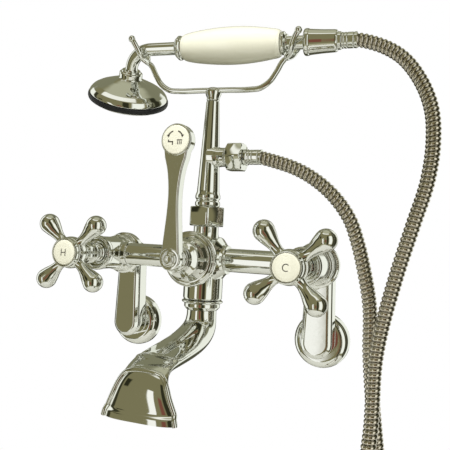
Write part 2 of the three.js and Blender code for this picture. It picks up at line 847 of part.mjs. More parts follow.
function cradle() {
  const bend = [
    [forkFoot[0], forkFoot[1]],
    [59, cradleBarHeight + 22.9],
    [54.1, cradleBarHeight + 14.2],
    [48.6, cradleBarHeight + 6.2],
    [40, cradleBarHeight + 0.8],
    [32, cradleBarHeight],
    [12, cradleBarHeight],
  ];
  const right = bend.map(([x, z]) => new THREE.Vector3(x, 0, z));
  const left = bend.map(([x, z]) => new THREE.Vector3(-x, 0, z)).reverse();
  const bar = bentRod([...right, ...left], cradleRod, 24, 6);
  const boss = columnTop + gap;
  const socket = turnedUp([
    [0, boss],
    [4.4, boss],
    [5.2, boss + 3],
    [6.6, cradleBarHeight - 3.4],
    [6.6, cradleBarHeight - 1.6],
    [3.6, cradleBarHeight + 1.6],
    [0, cradleBarHeight + 1.8],
  ]);
  const hole = turnedUp(rod(2.6 + gap, boss - 1, columnTop + 5 + gap), 12);
  const mirrored = solid(geometryOf(fork()).rotateZ(Math.PI));
  return cut(join(bar, fork(), mirrored, socket), hole);
}

// Hand shower ---------------------------------------------------------------------------------

const gripEnd = gripStart + gripLength;
const forkSpan = 16.6; // bare neck that rests in the rear fork
const rearFerruleEnd = gripEnd + gap + 5.3;
const upperThreadRadius = 7.1;
const upperThreadStart = rearFerruleEnd + gap + forkSpan;
const upperThreadEnd = upperThreadStart + 15.6;
const frontFerruleStart = gripStart - gap - 6.4;
const headDrop = 43; // hand shower axis to the head's rim, square to the axis
const headAhead = 90.6; // riser axis to the rim's middle, along the axis
const collarRise = 20.5;

// A point of the head's axis, h above the rim, in the plane of the neck.
const headPoint = (h) =>
  new THREE.Vector3(-headAhead + h * Math.sin(headTilt), 0, -headDrop + h * Math.cos(headTilt));

// Turned about the head's axis, with heights measured up from its rim.
function turnedOnHead(profile, sides) {
  const foot = headPoint(0);
  return turnedUp(profile, sides).rotateY(headTilt).translate(foot.x, foot.y, foot.z);
}

// The neck's middle line: straight from the ferrule, an arc down, then straight into the head.
function neckCurve() {
  const neckTopPoint = headPoint(collarRise + 2);
  const corner = new THREE.Vector3(neckTopPoint.x - neckTopPoint.z * Math.tan(headTilt), 0, 0);
  const sweep = Math.PI / 2 - headTilt;
  const tangent = neckBend * Math.tan(sweep / 2);
  const centre = new THREE.Vector3(corner.x + tangent, 0, -neckBend);
  const path = new THREE.CurvePath();
  const arcPoint = (t) =>
    new THREE.Vector3(centre.x - neckBend * Math.sin(t), 0, centre.z + neckBend * Math.cos(t));
  const arc = Array.from({ length: 9 }, (_, i) => arcPoint((sweep * i) / 8));
  path.add(new THREE.LineCurve3(new THREE.Vector3(frontFerruleStart - 1, 0, 0), arc[0]));
  path.add(new THREE.CatmullRomCurve3(arc));
  path.add(new THREE.LineCurve3(arc[8], neckTopPoint));
  return path;
}

function neckTube() {
  const sides = 12;
  const circle = new THREE.Shape().absarc(0, 0, tubeRadius - 0.2, 0, 2 * Math.PI);
  const section = new THREE.Shape(circle.getPoints(sides).slice(0, sides));
  const outside = new THREE.ExtrudeGeometry(section, {
    steps: 20,
    bevelEnabled: false,
    extrudePath: neckCurve(),
  });
  const spigot = turnedRight(rod(3.2, frontFerruleStart - 2, frontFerruleStart + 9), 12);
  return join(outside, spigot);
}

function headShell() {
  const wall = 1.8;
  const dome = [
    [headRadius, 0],
    [headRadius, 1.6],
    [headRadius * 0.97, 4.6],
    [headRadius * 0.88, 9.2],
    [headRadius * 0.73, 13.4],
    [headRadius * 0.55, 16.6],
    [headRadius * 0.37, 18.8],
  ];
  const inside = dome.map(([r, h]) => [r - wall, h - (h > 1 ? wall : 0)]).reverse();
  return turnedOnHead([
    ...dome,
    [9.3, collarRise],
    [9.3, collarRise + 4.6],
    [tubeRadius + 1.4, collarRise + 6.2],
    [tubeRadius + gap + 0.2, collarRise + 6.2],
    [tubeRadius + gap + 0.2, collarRise + 1.6],
    [3.5, collarRise + 1.6],
    [3.5, 18],
    ...inside,
  ], 16);
}

function sprayPlate() {
  const plate = turnedOnHead(rod(headRadius - 5, -6.4, -0.4), 16);
  const hole = (r, turn) =>
    turnedUp(rod(0.9, -8, 1), 6).translate(r * Math.cos(turn), r * Math.sin(turn), 0);
  const rows = [
    [12, 6],
    [24, 10],
  ];
  const holes = rows.flatMap(([r, count]) =>
    Array.from({ length: count }, (_, i) => hole(r, (2 * Math.PI * i) / count)),
  );
  const foot = headPoint(0);
  return cut(plate, ...holes.map((h) => h.rotateY(headTilt).translate(foot.x, foot.y, foot.z)));
}

const headGasket = () => turnedOnHead([
  [headRadius - 4.6, -5.2],
  [headRadius + 0.4, -5.2],
  [headRadius + 1.4, -3.8],
  [headRadius + 1.3, -gap],
  [headRadius - 4.6, -gap],
], 16);

function innerTube() {
  const bore = 3.6;
  return turnedRight([
    [bore, frontFerruleStart + gap],
    [tubeRadius, frontFerruleStart + gap],
    [tubeRadius, upperThreadStart],
    [upperThreadRadius, upperThreadStart],
    [upperThreadRadius, upperThreadEnd],
    [bore, upperThreadEnd],
  ], 16);
}

function porcelainGrip() {
  const bore = tubeRadius + gap;
  const barrel = new THREE.SplineCurve([
    new THREE.Vector2(10.4, gripStart),
    new THREE.Vector2(gripRadius * 0.86, gripStart + gripLength * 0.2),
    new THREE.Vector2(gripRadius, gripStart + gripLength * 0.5),
    new THREE.Vector2(gripRadius * 0.9, gripStart + gripLength * 0.75),
    new THREE.Vector2(11.1, gripEnd),
  ]);
  const outer = barrel.getPoints(8).map((p) => [p.x, p.y]);
  return turnedRight([...outer, [bore, gripEnd], [bore, gripStart]], 16);
}

const ferruleRing = (from, to, radius) => turnedRight([
  [tubeRadius + gap, from],
  [radius - 1.6, from],
  [radius, from + 1.4],
  [radius, from + 2.8],
  [radius - 1.6, to - 1],
  [radius - 1.6, to],
  [tubeRadius + gap, to],
]);

function handShowerSet() {
  const turnedSet = placed(0, 0, gripHeight);
  turnedSet.rotation.z = cradleTurn;
  const head = placed(0, 0, 0, turnedSet);
  head.rotation.x = headRoll;
  piece("shower_head_shell", headShell(), chrome, head);
  piece("head_gasket", headGasket(), rubber, head);
  piece("spray_plate", sprayPlate(), chrome, head);
  piece("handset_neck", neckTube(), chrome, head);
  piece("front_ferrule", ferruleRing(frontFerruleStart, gripStart - gap, 10.2), chrome, turnedSet);
  piece("inner_tube", innerTube(), chrome, turnedSet);
  piece("porcelain_grip", porcelainGrip(), porcelain, turnedSet);
  piece("rear_ferrule", ferruleRing(gripEnd + gap, rearFerruleEnd, 8.9), chrome, turnedSet);
  const nutStart = upperThreadStart - gap;
  hoseEnd("hose_upper", upperThreadRadius, nutStart, upperThreadEnd, taperedNutRight, turnedSet);
}

// Hose ----------------------------------------------------------------------------------------

// The hose's middle line from the riser branch, down through the hanging loop, up to the hand shower.
const hoseRoute = [
  [41.8, 0, 86],
  [49, 0, 84.9],
  [61.3, 0, 81.6],
  [73.6, 0, 77.6],
  [85.7, 0.5, 71.8],
  [97.2, 1, 64.1],
  [109.1, 2, 53],
  [120.2, 3, 37.4],
  [126.9, 4, 19.8],
  [132, 5, 0.8],
  [137.6, 6, -26.5],
  [139.6, 6, -64.6],
  [146.8, 6, -126.4],
  [158, 5, -200],
  [171, 3, -272],
  [179, 1, -334],
  [178, 0, -374],
  [165, -1.5, -408],
  [141, -3, -424],
  [116, -5, -409],
  [102, -6.5, -376],
  [104, -7.5, -326],
  [118, -8.5, -256],
  [135, -9, -190],
  [144.6, -9, -122],
  [146.4, -9, -62],
  [158.4, -9, -2.2],
  [168.3, -8, 34.9],
  [176.9, -5, 68.4],
  [179.3, -2, 98.2],
  [177, 1, 121.2],
  [167.6, 5, 145.2],
  [151.5, 8.6, 166],
  [132, 10, 177.2],
];

function hoseSet() {
  const start = new THREE.Vector3(hoseFrom(branchReach), 0, branchHeight);
  const axis = new THREE.Vector3(Math.cos(cradleTurn), Math.sin(cradleTurn), 0);
  const end = axis.clone().multiplyScalar(hoseFrom(upperThreadEnd)).setZ(gripHeight);
  const middle = hoseRoute.slice(1).map(([x, y, z]) => new THREE.Vector3(x, y, z));
  const points = [start, start.clone().add(new THREE.Vector3(3, 0, 0)), ...middle];
  const route = [...points, end.clone().addScaledVector(axis, 4), end];
  piece("hose", bentRod(route, hoseRadius, 54, 8), spiralSteel);
}

piece("mixer_body", mixerBody(), chrome);
for (const [side, x, turn] of [["hot", -valveSpacing / 2, 0], ["cold", valveSpacing / 2, coldHandleTurn]]) {
  valveSet(side, x, turn);
  armSet(side, x);
}
diverterSet();
spoutSet();
riserSet();
const cradleGroup = placed(0, 0, 0);
cradleGroup.rotation.z = cradleTurn;
piece("cradle", cradle(), chrome, cradleGroup);
handShowerSet();
hoseSet();

export default assembly;
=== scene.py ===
"""Wall mounted bath mixer with a telephone hand shower: the fine surfaces, finishes, light and camera.

Lengths inside the shape functions are millimetres from the hub, where the bar axis meets the riser axis:
+X towards the cold side, +Y into the wall, +Z up. set_down() carries a finished shape to the frame's metres.
"""

import json
import math

import bpy
import numpy as np
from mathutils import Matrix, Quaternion, Vector


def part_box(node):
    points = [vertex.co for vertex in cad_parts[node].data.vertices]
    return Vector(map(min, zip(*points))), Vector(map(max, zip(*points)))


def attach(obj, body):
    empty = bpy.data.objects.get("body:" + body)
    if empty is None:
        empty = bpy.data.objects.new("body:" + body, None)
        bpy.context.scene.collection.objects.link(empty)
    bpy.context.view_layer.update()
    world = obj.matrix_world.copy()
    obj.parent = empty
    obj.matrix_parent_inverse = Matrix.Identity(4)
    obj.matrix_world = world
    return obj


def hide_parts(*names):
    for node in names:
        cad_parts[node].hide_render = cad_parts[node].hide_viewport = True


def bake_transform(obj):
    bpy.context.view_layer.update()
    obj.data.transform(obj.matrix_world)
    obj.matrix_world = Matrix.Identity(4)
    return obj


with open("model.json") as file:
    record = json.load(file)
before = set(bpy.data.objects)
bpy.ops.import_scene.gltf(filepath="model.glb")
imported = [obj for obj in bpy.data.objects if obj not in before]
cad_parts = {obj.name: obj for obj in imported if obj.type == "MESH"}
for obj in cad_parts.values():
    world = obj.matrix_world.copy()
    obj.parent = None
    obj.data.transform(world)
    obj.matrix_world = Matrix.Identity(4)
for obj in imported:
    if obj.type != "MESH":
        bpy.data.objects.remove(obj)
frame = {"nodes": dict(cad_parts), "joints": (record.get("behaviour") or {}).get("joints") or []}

bl_info = {
    "name": "Bath mixer with hand shower",
    "version": (1, 0, 0),
    "blender": (4, 5, 0),
    "location": "3D View > Sidebar > Bath mixer",
    "description": "Builds the fine surfaces, finishes and stage of a wall mounted bath mixer",
    "category": "Add Mesh",
}

MM = 0.001
CORNER_STEPS = 5
BAND_STEPS = 20
JOINTS = {joint["name"]: joint for joint in frame["joints"]}
VALVE_AXIS = Vector(JOINTS["cold_handle_turn"]["pos_m"])
NUT_LOW, NUT_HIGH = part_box("riser_nut")
HUB = Vector((0.0, (NUT_LOW.y + NUT_HIGH.y) / 2, VALVE_AXIS.z))
VALVE_REACH = VALVE_AXIS.x / MM
WALL = -HUB.y / MM
FLANGE_LOW, FLANGE_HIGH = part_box("cold_wall_flange")
ARM_DROP = (HUB.z - (FLANGE_LOW.z + FLANGE_HIGH.z) / 2) / MM
LIFT = JOINTS["handset_lift"]["axis"]
CRADLE_TURN = math.degrees(math.atan2(-LIFT[1], -LIFT[0]))
HEAD_ROLL = 29.0
HEAD_TILT = 16.8
HEAD_PLACE = np.array([-90.6, 0, -43.0])
RIM_RISE = 3.4
BRANCH_HEIGHT = 86.0
COLD_TURN = -5.8
GRIP_HEIGHT = 181.0
SIDES = {"hot": -1.0, "cold": 1.0}


# Placing ------------------------------------------------------------------------------------------


def shift(x, y, z):
    matrix = np.eye(4)
    matrix[:3, 3] = (x, y, z)
    return matrix


def spin(axis, degrees):
    """A turn about one axis, as a 4 by 4 matrix: the other two axes turn into each other by cos and sin."""
    c, s = math.cos(math.radians(degrees)), math.sin(math.radians(degrees))
    matrix = np.eye(4)
    a, b = {"X": (1, 2), "Y": (2, 0), "Z": (0, 1)}[axis]
    matrix[a, a], matrix[a, b], matrix[b, a], matrix[b, b] = c, -s, s, c
    return matrix


UPWARD = np.eye(4)
FORWARD = spin("X", 90)
BACKWARD = spin("X", -90)
RIGHTWARD = spin("Y", 90)
CRADLE = spin("Z", CRADLE_TURN)
HANDSET = shift(0, 0, GRIP_HEIGHT) @ CRADLE
HEAD = HANDSET @ spin("X", HEAD_ROLL)
HEAD_FOOT = HEAD @ shift(*HEAD_PLACE) @ spin("Y", HEAD_TILT)
HEAD_RIM = HEAD_FOOT @ shift(0, 0, RIM_RISE)
BRANCH = shift(0, 0, BRANCH_HEIGHT) @ RIGHTWARD


def moved(shell, matrix):
    points, faces = shell
    return points @ matrix[:3, :3].T + matrix[:3, 3], faces


def together(*shells):
    """Several closed shells as one, each keeping its own smooth surface."""
    starts = np.cumsum([0] + [len(points) for points, _ in shells])
    faces = [f + start for (_, group), start in zip(shells, starts) for f in group]
    return np.vstack([points for points, _ in shells]), faces


# Surfaces -----------------------------------------------------------------------------------------


def eased(profile, radius, closed):
    """A profile with its corners rounded. Corner P between A and C, the points a set way along its two
    sides, becomes (1-t)^2 A + 2t(1-t) P + t^2 C for t from 0 to 1, with one more point on each side."""
    p = np.array(profile, float)
    sides = [np.roll(p, 1, 0) - p, np.roll(p, -1, 0) - p]
    lengths = [np.maximum(np.linalg.norm(side, axis=1, keepdims=True), 1e-6) for side in sides]
    reach = np.minimum(radius, 0.38 * np.minimum(*lengths))
    ways = [side / length for side, length in zip(sides, lengths)]
    a, c = (p + reach * way for way in ways)
    first, last = (
        p + (reach + np.minimum(0.25, 0.08 * length)) * way for way, length in zip(ways, lengths)
    )
    t = np.linspace(0, 1, CORNER_STEPS)[None, :, None]
    curve = (1 - t) ** 2 * a[:, None] + 2 * t * (1 - t) * p[:, None] + t**2 * c[:, None]
    rows = np.concatenate([first[:, None], curve, last[:, None]], 1)
    if closed:
        return rows.reshape(-1, 2)
    return np.vstack([p[:1], rows[1:-1].reshape(-1, 2), p[-1:]])


def flowing(points, spacing):
    """A smooth line through points, about spacing apart: on each span the cubic that has the points' own
    slopes, measured over the straight distances between neighbours, at its two ends."""
    p = np.array(points, float)
    run = np.concatenate([[0], np.cumsum(np.linalg.norm(np.diff(p, axis=0), axis=1))])
    slope = np.gradient(p, run, axis=0)
    at = np.linspace(0, run[-1], max(2, int(round(run[-1] / spacing)) + 1))
    i = np.clip(np.searchsorted(run, at, side="right") - 1, 0, len(p) - 2)
    span = (run[i + 1] - run[i])[:, None]
    t = ((at - run[i]) / span[:, 0])[:, None]
    return (
        (2 * t**3 - 3 * t**2 + 1) * p[i]
        + (t**3 - 2 * t**2 + t) * span * slope[i]
        + (3 * t**2 - 2 * t**3) * p[i + 1]
        + (t**3 - t**2) * span * slope[i + 1]
    )


def skin(rings, endless=False, ends=(None, None)):
    """A surface over rings of points: point (i, j) joins (i, j+1), (i+1, j+1) and (i+1, j), and an end
    point closes the first or last ring with a fan."""
    count, sides = rings.shape[:2]
    grid = np.arange(count * sides).reshape(count, sides)
    rows = np.vstack([grid, grid[:1]]) if endless else grid
    low, high = rows[:-1], rows[1:]
    faces = [np.stack([low, np.roll(low, -1, 1), np.roll(high, -1, 1), high], -1).reshape(-1, 4)]
    points = [rings.reshape(-1, 3)]
    for end, ring, turned_round in ((ends[0], grid[0], True), (ends[1], grid[-1], False)):
        if end is not None:
            tip = np.full(sides, count * sides + len(points) - 1)
            fan = np.stack([ring, np.roll(ring, -1), tip], -1)
            faces.append(fan[:, ::-1] if turned_round else fan)
            points.append(np.array([end], float))
    return outward((np.vstack(points), faces))


def outward(shell):
    """The shell with its faces pointing out: six times its volume is the sum of a . (b x c) over its
    triangles."""
    points, faces = shell
    triangles = np.vstack(
        [np.stack([f[:, 0], f[:, k], f[:, k + 1]], -1) for f in faces for k in range(1, f.shape[1] - 1)]
    )
    a, b, c = (points[triangles[:, k]] for k in range(3))
    if np.einsum("ij,ij->", a, np.cross(b, c)) < 0:
        return points, [f[:, ::-1] for f in faces]
    return shell


def turned(profile, matrix=UPWARD, ease=0.6, sides=72):
    """A turned solid: each profile row (r, h) becomes the ring (r cos a, r sin a, h). A profile that starts
    off the axis is a ring's cross-section."""
    closed = profile[0][0] > 0
    rows = eased(profile, ease, closed)
    body = rows if closed else rows[1:-1]
    a = np.linspace(0, 2 * np.pi, sides, endpoint=False)
    r, h = body[:, :1], body[:, 1:]
    rings = np.stack([r * np.cos(a), r * np.sin(a), np.broadcast_to(h, (len(body), sides))], -1)
    ends = (None, None) if closed else ((0, 0, rows[0][1]), (0, 0, rows[-1][1]))
    return moved(skin(rings, closed, ends), matrix)


def six_sided_nut(corner, start, end, turn, matrix):
    """A six-sided nut. At angle a its side stands at apothem / cos(a'), a' being the angle from the nearest
    flat's middle, and a 30 degree cone cuts each end, so the flats end in arcs."""
    sides = 144
    a = np.linspace(0, 2 * np.pi, sides, endpoint=False)
    flat = np.abs((a % (np.pi / 3)) - np.pi / 6)
    apothem = corner * math.cos(math.pi / 6)
    side = np.minimum(apothem / np.cos(flat), corner * 0.985)
    cone = np.full(sides, apothem * 0.985)
    drop = (side - cone) * 0.58
    soft = 0.35
    radii = np.stack([cone, side - soft * 0.5, side, side, side - soft * 0.5, cone])
    heights = np.stack([
        np.full(sides, start), start + drop, start + drop + soft,
        end - drop - soft, end - drop, np.full(sides, end),
    ])
    turned_a = a + math.radians(turn)
    rings = np.stack([radii * np.cos(turned_a), radii * np.sin(turned_a), heights], -1)
    return moved(skin(rings, ends=((0, 0, start), (0, 0, end))), matrix)


def framed(path, reference):
    """Two directions square to a path at each of its points: the reference less its part along the path,
    and the path's direction crossed with it."""
    along = np.gradient(path, axis=0)
    along /= np.linalg.norm(along, axis=1, keepdims=True)
    reference = np.array(reference, float)
    aside = reference - (along @ reference)[:, None] * along
    aside /= np.linalg.norm(aside, axis=1, keepdims=True)
    return aside, np.cross(along, aside)


def tube(path, radius, reference, sides=24, matrix=UPWARD, round_ends=False):
    """A round rod along a path: centre + r (cos a times one square direction + sin a times the other)."""
    radius = np.broadcast_to(np.asarray(radius, float), len(path)).copy()
    if round_ends:
        step = np.concatenate([[0], np.cumsum(np.linalg.norm(np.diff(path, axis=0), axis=1))])
        left = np.minimum(step, step[-1] - step)
        cap = np.clip(1 - left / radius, 0, 0.98)
        radius *= np.sqrt(1 - cap**2)
    aside, across = framed(path, reference)
    a = np.linspace(0, 2 * np.pi, sides, endpoint=False)[None, :, None]
    around = np.cos(a) * aside[:, None] + np.sin(a) * across[:, None]
    rings = path[:, None] + radius[:, None, None] * around
    return moved(skin(rings, ends=(path[0], path[-1])), matrix)


def slab(outline, profile, ease, matrix):
    """A flat-faced bar: the outline, a mirrored pair of sides from bottom to top and back, is carried
    through the profile's rows (inset, depth), each point moving in by the inset along its normal."""
    rows = eased(profile, ease, closed=False)[1:-1]
    tangent = np.roll(outline, -1, 0) - np.roll(outline, 1, 0)
    normal = np.stack([tangent[:, 1], -tangent[:, 0]], -1)
    normal /= np.linalg.norm(normal, axis=1, keepdims=True)
    flat = outline[None] - rows[:, :1, None] * normal[None]
    depth = np.broadcast_to(rows[:, 1:], flat.shape[:2])
    rings = np.stack([flat[..., 0], -depth, flat[..., 1]], -1)
    points, faces = skin(rings)
    count = len(outline)
    i = np.arange(1, count // 2 - 1)
    ladder = np.stack([i, i + 1, count - i - 1, count - i], -1)
    tips = np.array([[0, 1, count - 1], [count // 2 - 1, count // 2, count // 2 + 1]])
    last = (len(rows) - 1) * count
    caps = [ladder[:, ::-1], tips[:, ::-1], ladder + last, tips + last]
    return moved(consistent((points, [faces[0]] + caps)), matrix)


def consistent(shell):
    """The shell with walls and caps facing the same way, whichever way the caps were numbered."""
    points, faces = shell
    wall_edges = set(map(tuple, np.vstack([faces[0][:, [0, 1]], faces[0][:, [2, 3]]]).tolist()))
    if tuple(faces[1][0, :2].tolist()) in wall_edges:
        faces = [faces[0]] + [f[:, ::-1] for f in faces[1:]]
    return outward((points, faces))


def prism(outline, low, high, matrix):
    """A flat shape with straight sides between two heights above the XY plane."""
    flat = np.array(outline, float)
    count = len(flat)
    rings = np.stack([np.column_stack([flat, np.full(count, h)]) for h in (low, high)])
    points, faces = skin(rings)
    i = np.arange(count)[None]
    shell = points, [faces[0], i[:, ::-1], i + count]
    return moved(outward(shell), matrix)


def bar_mark(x, y, width, height):
    """The corners of an upright rectangle about (x, y)."""
    return np.array([[-1, -1], [1, -1], [1, 1], [-1, 1]]) * (width / 2, height / 2) + (x, y)


def arc_band(radius, width, start, end):
    """A band of the given width along a circle, from one angle to another in degrees."""
    a = np.radians(np.linspace(start, end, BAND_STEPS))
    way = np.stack([np.cos(a), np.sin(a)], -1)
    return np.vstack([(radius + width / 2) * way, (radius - width / 2) * way[::-1]])


# Pieces and finishes ------------------------------------------------------------------------------


SHARP_ANGLE = 34.0


def metres(points):
    return np.asarray(points, float) * MM + np.array(HUB)


def set_down(name, shell, body, slot, *nodes, finish=None):
    """Makes the shell an object in the frame's metres with smooth surfaces, riding on a body if one is named.
    Its finish is its slot's own unless another is given."""
    points, faces = shell
    mesh = bpy.data.meshes.new(name)
    mesh.vertices.add(len(points))
    mesh.vertices.foreach_set("co", metres(points).astype(np.float32).ravel())
    corners = np.concatenate([f.ravel() for f in faces])
    face_sides = np.concatenate([np.full(len(f), f.shape[1]) for f in faces])
    mesh.loops.add(len(corners))
    mesh.loops.foreach_set("vertex_index", corners.astype(np.int32))
    mesh.polygons.add(len(face_sides))
    starts = np.concatenate([[0], np.cumsum(face_sides)[:-1]])
    mesh.polygons.foreach_set("loop_start", starts.astype(np.int32))
    mesh.update(calc_edges=True)
    mesh.validate()
    mesh.shade_smooth()
    mesh.set_sharp_from_angle(angle=math.radians(SHARP_ANGLE))
    mesh.materials.append(finish or FINISH_OF[slot]())
    piece = bpy.data.objects.new(name, mesh)
    bpy.context.scene.collection.objects.link(piece)
    if body:
        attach(piece, body)
    if nodes:
        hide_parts(*nodes)
    return piece


def add_node(tree, kind, feeds=None, **settings):
    """A node with its settings, and its inputs set to numbers or linked to other nodes' outputs."""
    made = tree.nodes.new(kind)
    for key, value in settings.items():
        setattr(made, key, value)
    for key, value in (feeds or {}).items():
        if isinstance(value, bpy.types.NodeSocket):
            tree.links.new(value, made.inputs[key])
        else:
            made.inputs[key].default_value = value
    return made


def blend_of(tree, share, first, second):
    """The mix of two colours by a share from 0 to 1."""
    made = add_node(tree, "ShaderNodeMix", data_type="RGBA")
    for index, value in ((0, share), (6, first), (7, second)):
        if isinstance(value, bpy.types.NodeSocket):
            tree.links.new(value, made.inputs[index])
        else:
            made.inputs[index].default_value = value
    return made.outputs[2]


def new_group(name, inputs, outputs):
    """A shader node group with named sockets, and its input and output nodes."""
    group = bpy.data.node_groups.new(name, "ShaderNodeTree")
    for label, kind, default in inputs:
        made = group.interface.new_socket(name=label, in_out="INPUT", socket_type=kind)
        made.default_value = default
    for label, kind in outputs:
        group.interface.new_socket(name=label, in_out="OUTPUT", socket_type=kind)
    return group, group.nodes.new("NodeGroupInput").outputs, group.nodes.new("NodeGroupOutput").inputs


FLOAT, COLOUR = "NodeSocketFloat", "NodeSocketColor"


def uneven_polish():
    """Group: a finish that is nearly even. Two sizes of noise vary its tint, its roughness and its height."""
    if "uneven polish" in bpy.data.node_groups:
        return bpy.data.node_groups["uneven polish"]
    group, given, out = new_group(
        "uneven polish",
        [("Tint", COLOUR, (0.8, 0.8, 0.8, 1)), ("Shade", COLOUR, (0.7, 0.7, 0.7, 1)),
         ("Scale", FLOAT, 60.0), ("Smoothest", FLOAT, 0.03), ("Roughest", FLOAT, 0.08)],
        [("Color", COLOUR), ("Roughness", FLOAT), ("Height", FLOAT)],
    )
    place = add_node(group, "ShaderNodeTexCoord").outputs["Object"]
    broad = add_node(group, "ShaderNodeTexNoise", {
        "Vector": place, "Scale": given["Scale"], "Detail": 3.0,
    })
    finer = add_node(group, "ShaderNodeMath", {0: given["Scale"], 1: 9.0}, operation="MULTIPLY")
    fine = add_node(group, "ShaderNodeTexNoise", {
        "Vector": place, "Scale": finer.outputs[0], "Detail": 4.0,
    })
    group.links.new(blend_of(group, broad.outputs["Fac"], given["Tint"], given["Shade"]), out["Color"])
    rough = add_node(group, "ShaderNodeMapRange", {
        "Value": fine.outputs["Fac"], "From Min": 0.3, "From Max": 0.7,
        "To Min": given["Smoothest"], "To Max": given["Roughest"],
    })
    group.links.new(rough.outputs["Result"], out["Roughness"])
    group.links.new(broad.outputs["Fac"], out["Height"])
    return group


def glaze_crackle():
    """Group: a thick glaze. Cell borders give faint hairlines and noise gives cloudy tone."""
    if "glaze crackle" in bpy.data.node_groups:
        return bpy.data.node_groups["glaze crackle"]
    group, given, out = new_group(
        "glaze crackle",
        [("Glaze", COLOUR, (0.9, 0.87, 0.75, 1)), ("Cloud", COLOUR, (0.86, 0.82, 0.68, 1)),
         ("Hairline", COLOUR, (0.7, 0.62, 0.45, 1)), ("Scale", FLOAT, 90.0), ("Hairlines", FLOAT, 0.15)],
        [("Color", COLOUR), ("Roughness", FLOAT), ("Height", FLOAT)],
    )
    place = add_node(group, "ShaderNodeTexCoord").outputs["Object"]
    cloud = add_node(group, "ShaderNodeTexNoise", {
        "Vector": place, "Scale": given["Scale"], "Detail": 5.0,
    })
    cells = add_node(
        group, "ShaderNodeTexVoronoi", {"Vector": place, "Scale": 260.0}, feature="DISTANCE_TO_EDGE"
    )
    line = add_node(group, "ShaderNodeMapRange", {
        "Value": cells.outputs["Distance"], "From Min": 0.0, "From Max": 0.03,
        "To Min": 1.0, "To Max": 0.0,
    })
    faint = add_node(
        group, "ShaderNodeMath", {0: line.outputs["Result"], 1: given["Hairlines"]}, operation="MULTIPLY"
    )
    tone = blend_of(group, cloud.outputs["Fac"], given["Glaze"], given["Cloud"])
    group.links.new(blend_of(group, faint.outputs[0], tone, given["Hairline"]), out["Color"])
    rough = add_node(group, "ShaderNodeMapRange", {
        "Value": cloud.outputs["Fac"], "From Min": 0.3, "From Max": 0.7, "To Min": 0.12, "To Max": 0.2,
    })
    group.links.new(rough.outputs["Result"], out["Roughness"])
    group.links.new(cloud.outputs["Fac"], out["Height"])
    return group


def opaque(colour, shade=1.0):
    return (colour[0] * shade, colour[1] * shade, colour[2] * shade, 1.0)


def finished_with(name, group, feeds, dent, **fixed):
    """A material: the group's colour, roughness and height feed a Principled BSDF, and the fixed values are
    set on its sockets."""
    if name in bpy.data.materials:
        return bpy.data.materials[name]
    material = bpy.data.materials.new(name)
    material.use_nodes = True
    tree = material.node_tree
    surface = tree.nodes["Principled BSDF"]
    effect = add_node(tree, "ShaderNodeGroup", node_tree=group)
    for key, value in feeds.items():
        effect.inputs[key].default_value = value
    tree.links.new(effect.outputs["Color"], surface.inputs["Base Color"])
    tree.links.new(effect.outputs["Roughness"], surface.inputs["Roughness"])
    bump = add_node(tree, "ShaderNodeBump", {
        "Height": effect.outputs["Height"], "Strength": dent, "Distance": 0.001,
    })
    tree.links.new(bump.outputs["Normal"], surface.inputs["Normal"])
    for key, value in fixed.items():
        surface.inputs[key.replace("_", " ")].default_value = value
    return material


def polished(name, colour, smoothest, roughest, scale=45.0, dent=0.02):
    return finished_with(
        name, uneven_polish(),
        {"Tint": opaque(colour), "Shade": opaque(colour, 0.96), "Scale": scale,
         "Smoothest": smoothest, "Roughest": roughest},
        dent, Metallic=1.0,
    )


def chrome():
    return polished("bright chrome", colours().chrome, 0.03, 0.065)


def satin_steel():
    return polished("satin steel", colours().steel, 0.22, 0.38, 120.0, 0.08)


def raw_brass():
    return polished("raw brass", colours().brass, 0.25, 0.42, 120.0, 0.08)


def glazed(name, colour, cloud):
    return finished_with(
        name, glaze_crackle(),
        {"Glaze": opaque(colour), "Cloud": opaque(cloud), "Hairline": opaque(cloud, 0.72),
         "Scale": 55.0, "Hairlines": 0.12},
        0.03, Coat_Weight=0.6, Coat_Roughness=0.03, Specular_IOR_Level=0.5,
    )


def porcelain():
    return glazed("ivory porcelain", colours().porcelain, [0.95 * c for c in colours().porcelain])


def enamel():
    ink = colours().enamel
    return finished_with(
        "dark enamel", uneven_polish(),
        {"Tint": opaque(ink), "Shade": opaque(ink, 0.75), "Scale": 300.0,
         "Smoothest": 0.25, "Roughest": 0.4},
        0.05,
    )


def rubber():
    tint = colours().rubber
    return finished_with(
        "moulded rubber", uneven_polish(),
        {"Tint": opaque(tint), "Shade": opaque(tint, 0.6), "Scale": 240.0,
         "Smoothest": 0.42, "Roughest": 0.62},
        0.25,
    )


def spiral_metal_with_painted_groove_shade():
    """The hose's plated strip, with painted shade in its grooves: its colour is mixed towards a darker copy
    of itself where the mesh's attribute named groove marks the grooves."""
    name = "spiral plated strip with painted groove shade"
    made = polished(name, colours().hose, 0.1, 0.22, 90.0, 0.03)
    tree = made.node_tree
    surface = tree.nodes["Principled BSDF"]
    effect = surface.inputs["Base Color"].links[0].from_socket
    mark = add_node(tree, "ShaderNodeAttribute", attribute_name="groove")
    # Painted shade: the strip's own colour at three tenths, laid into the grooves by the groove attribute.
    dark = opaque(colours().hose, 0.3)
    tree.links.new(blend_of(tree, mark.outputs["Fac"], effect, dark), surface.inputs["Base Color"])
    return made


FINISH_OF = {
    "chrome": chrome, "brass": raw_brass, "steel": satin_steel, "porcelain": porcelain, "rubber": rubber,
    "spiral_hose": spiral_metal_with_painted_groove_shade,
}


# The sizes and colours that a user would change ----------------------------------------------------


def size_in_metres(label, description, default):
    return bpy.props.FloatProperty(
        name=label, description=description, default=default, min=0.0, subtype="DISTANCE", unit="LENGTH",
        precision=5,
    )


def colour_of(label, description, default):
    return bpy.props.FloatVectorProperty(
        name=label, description=description, default=default, size=3, min=0.0, max=1.0, subtype="COLOR"
    )


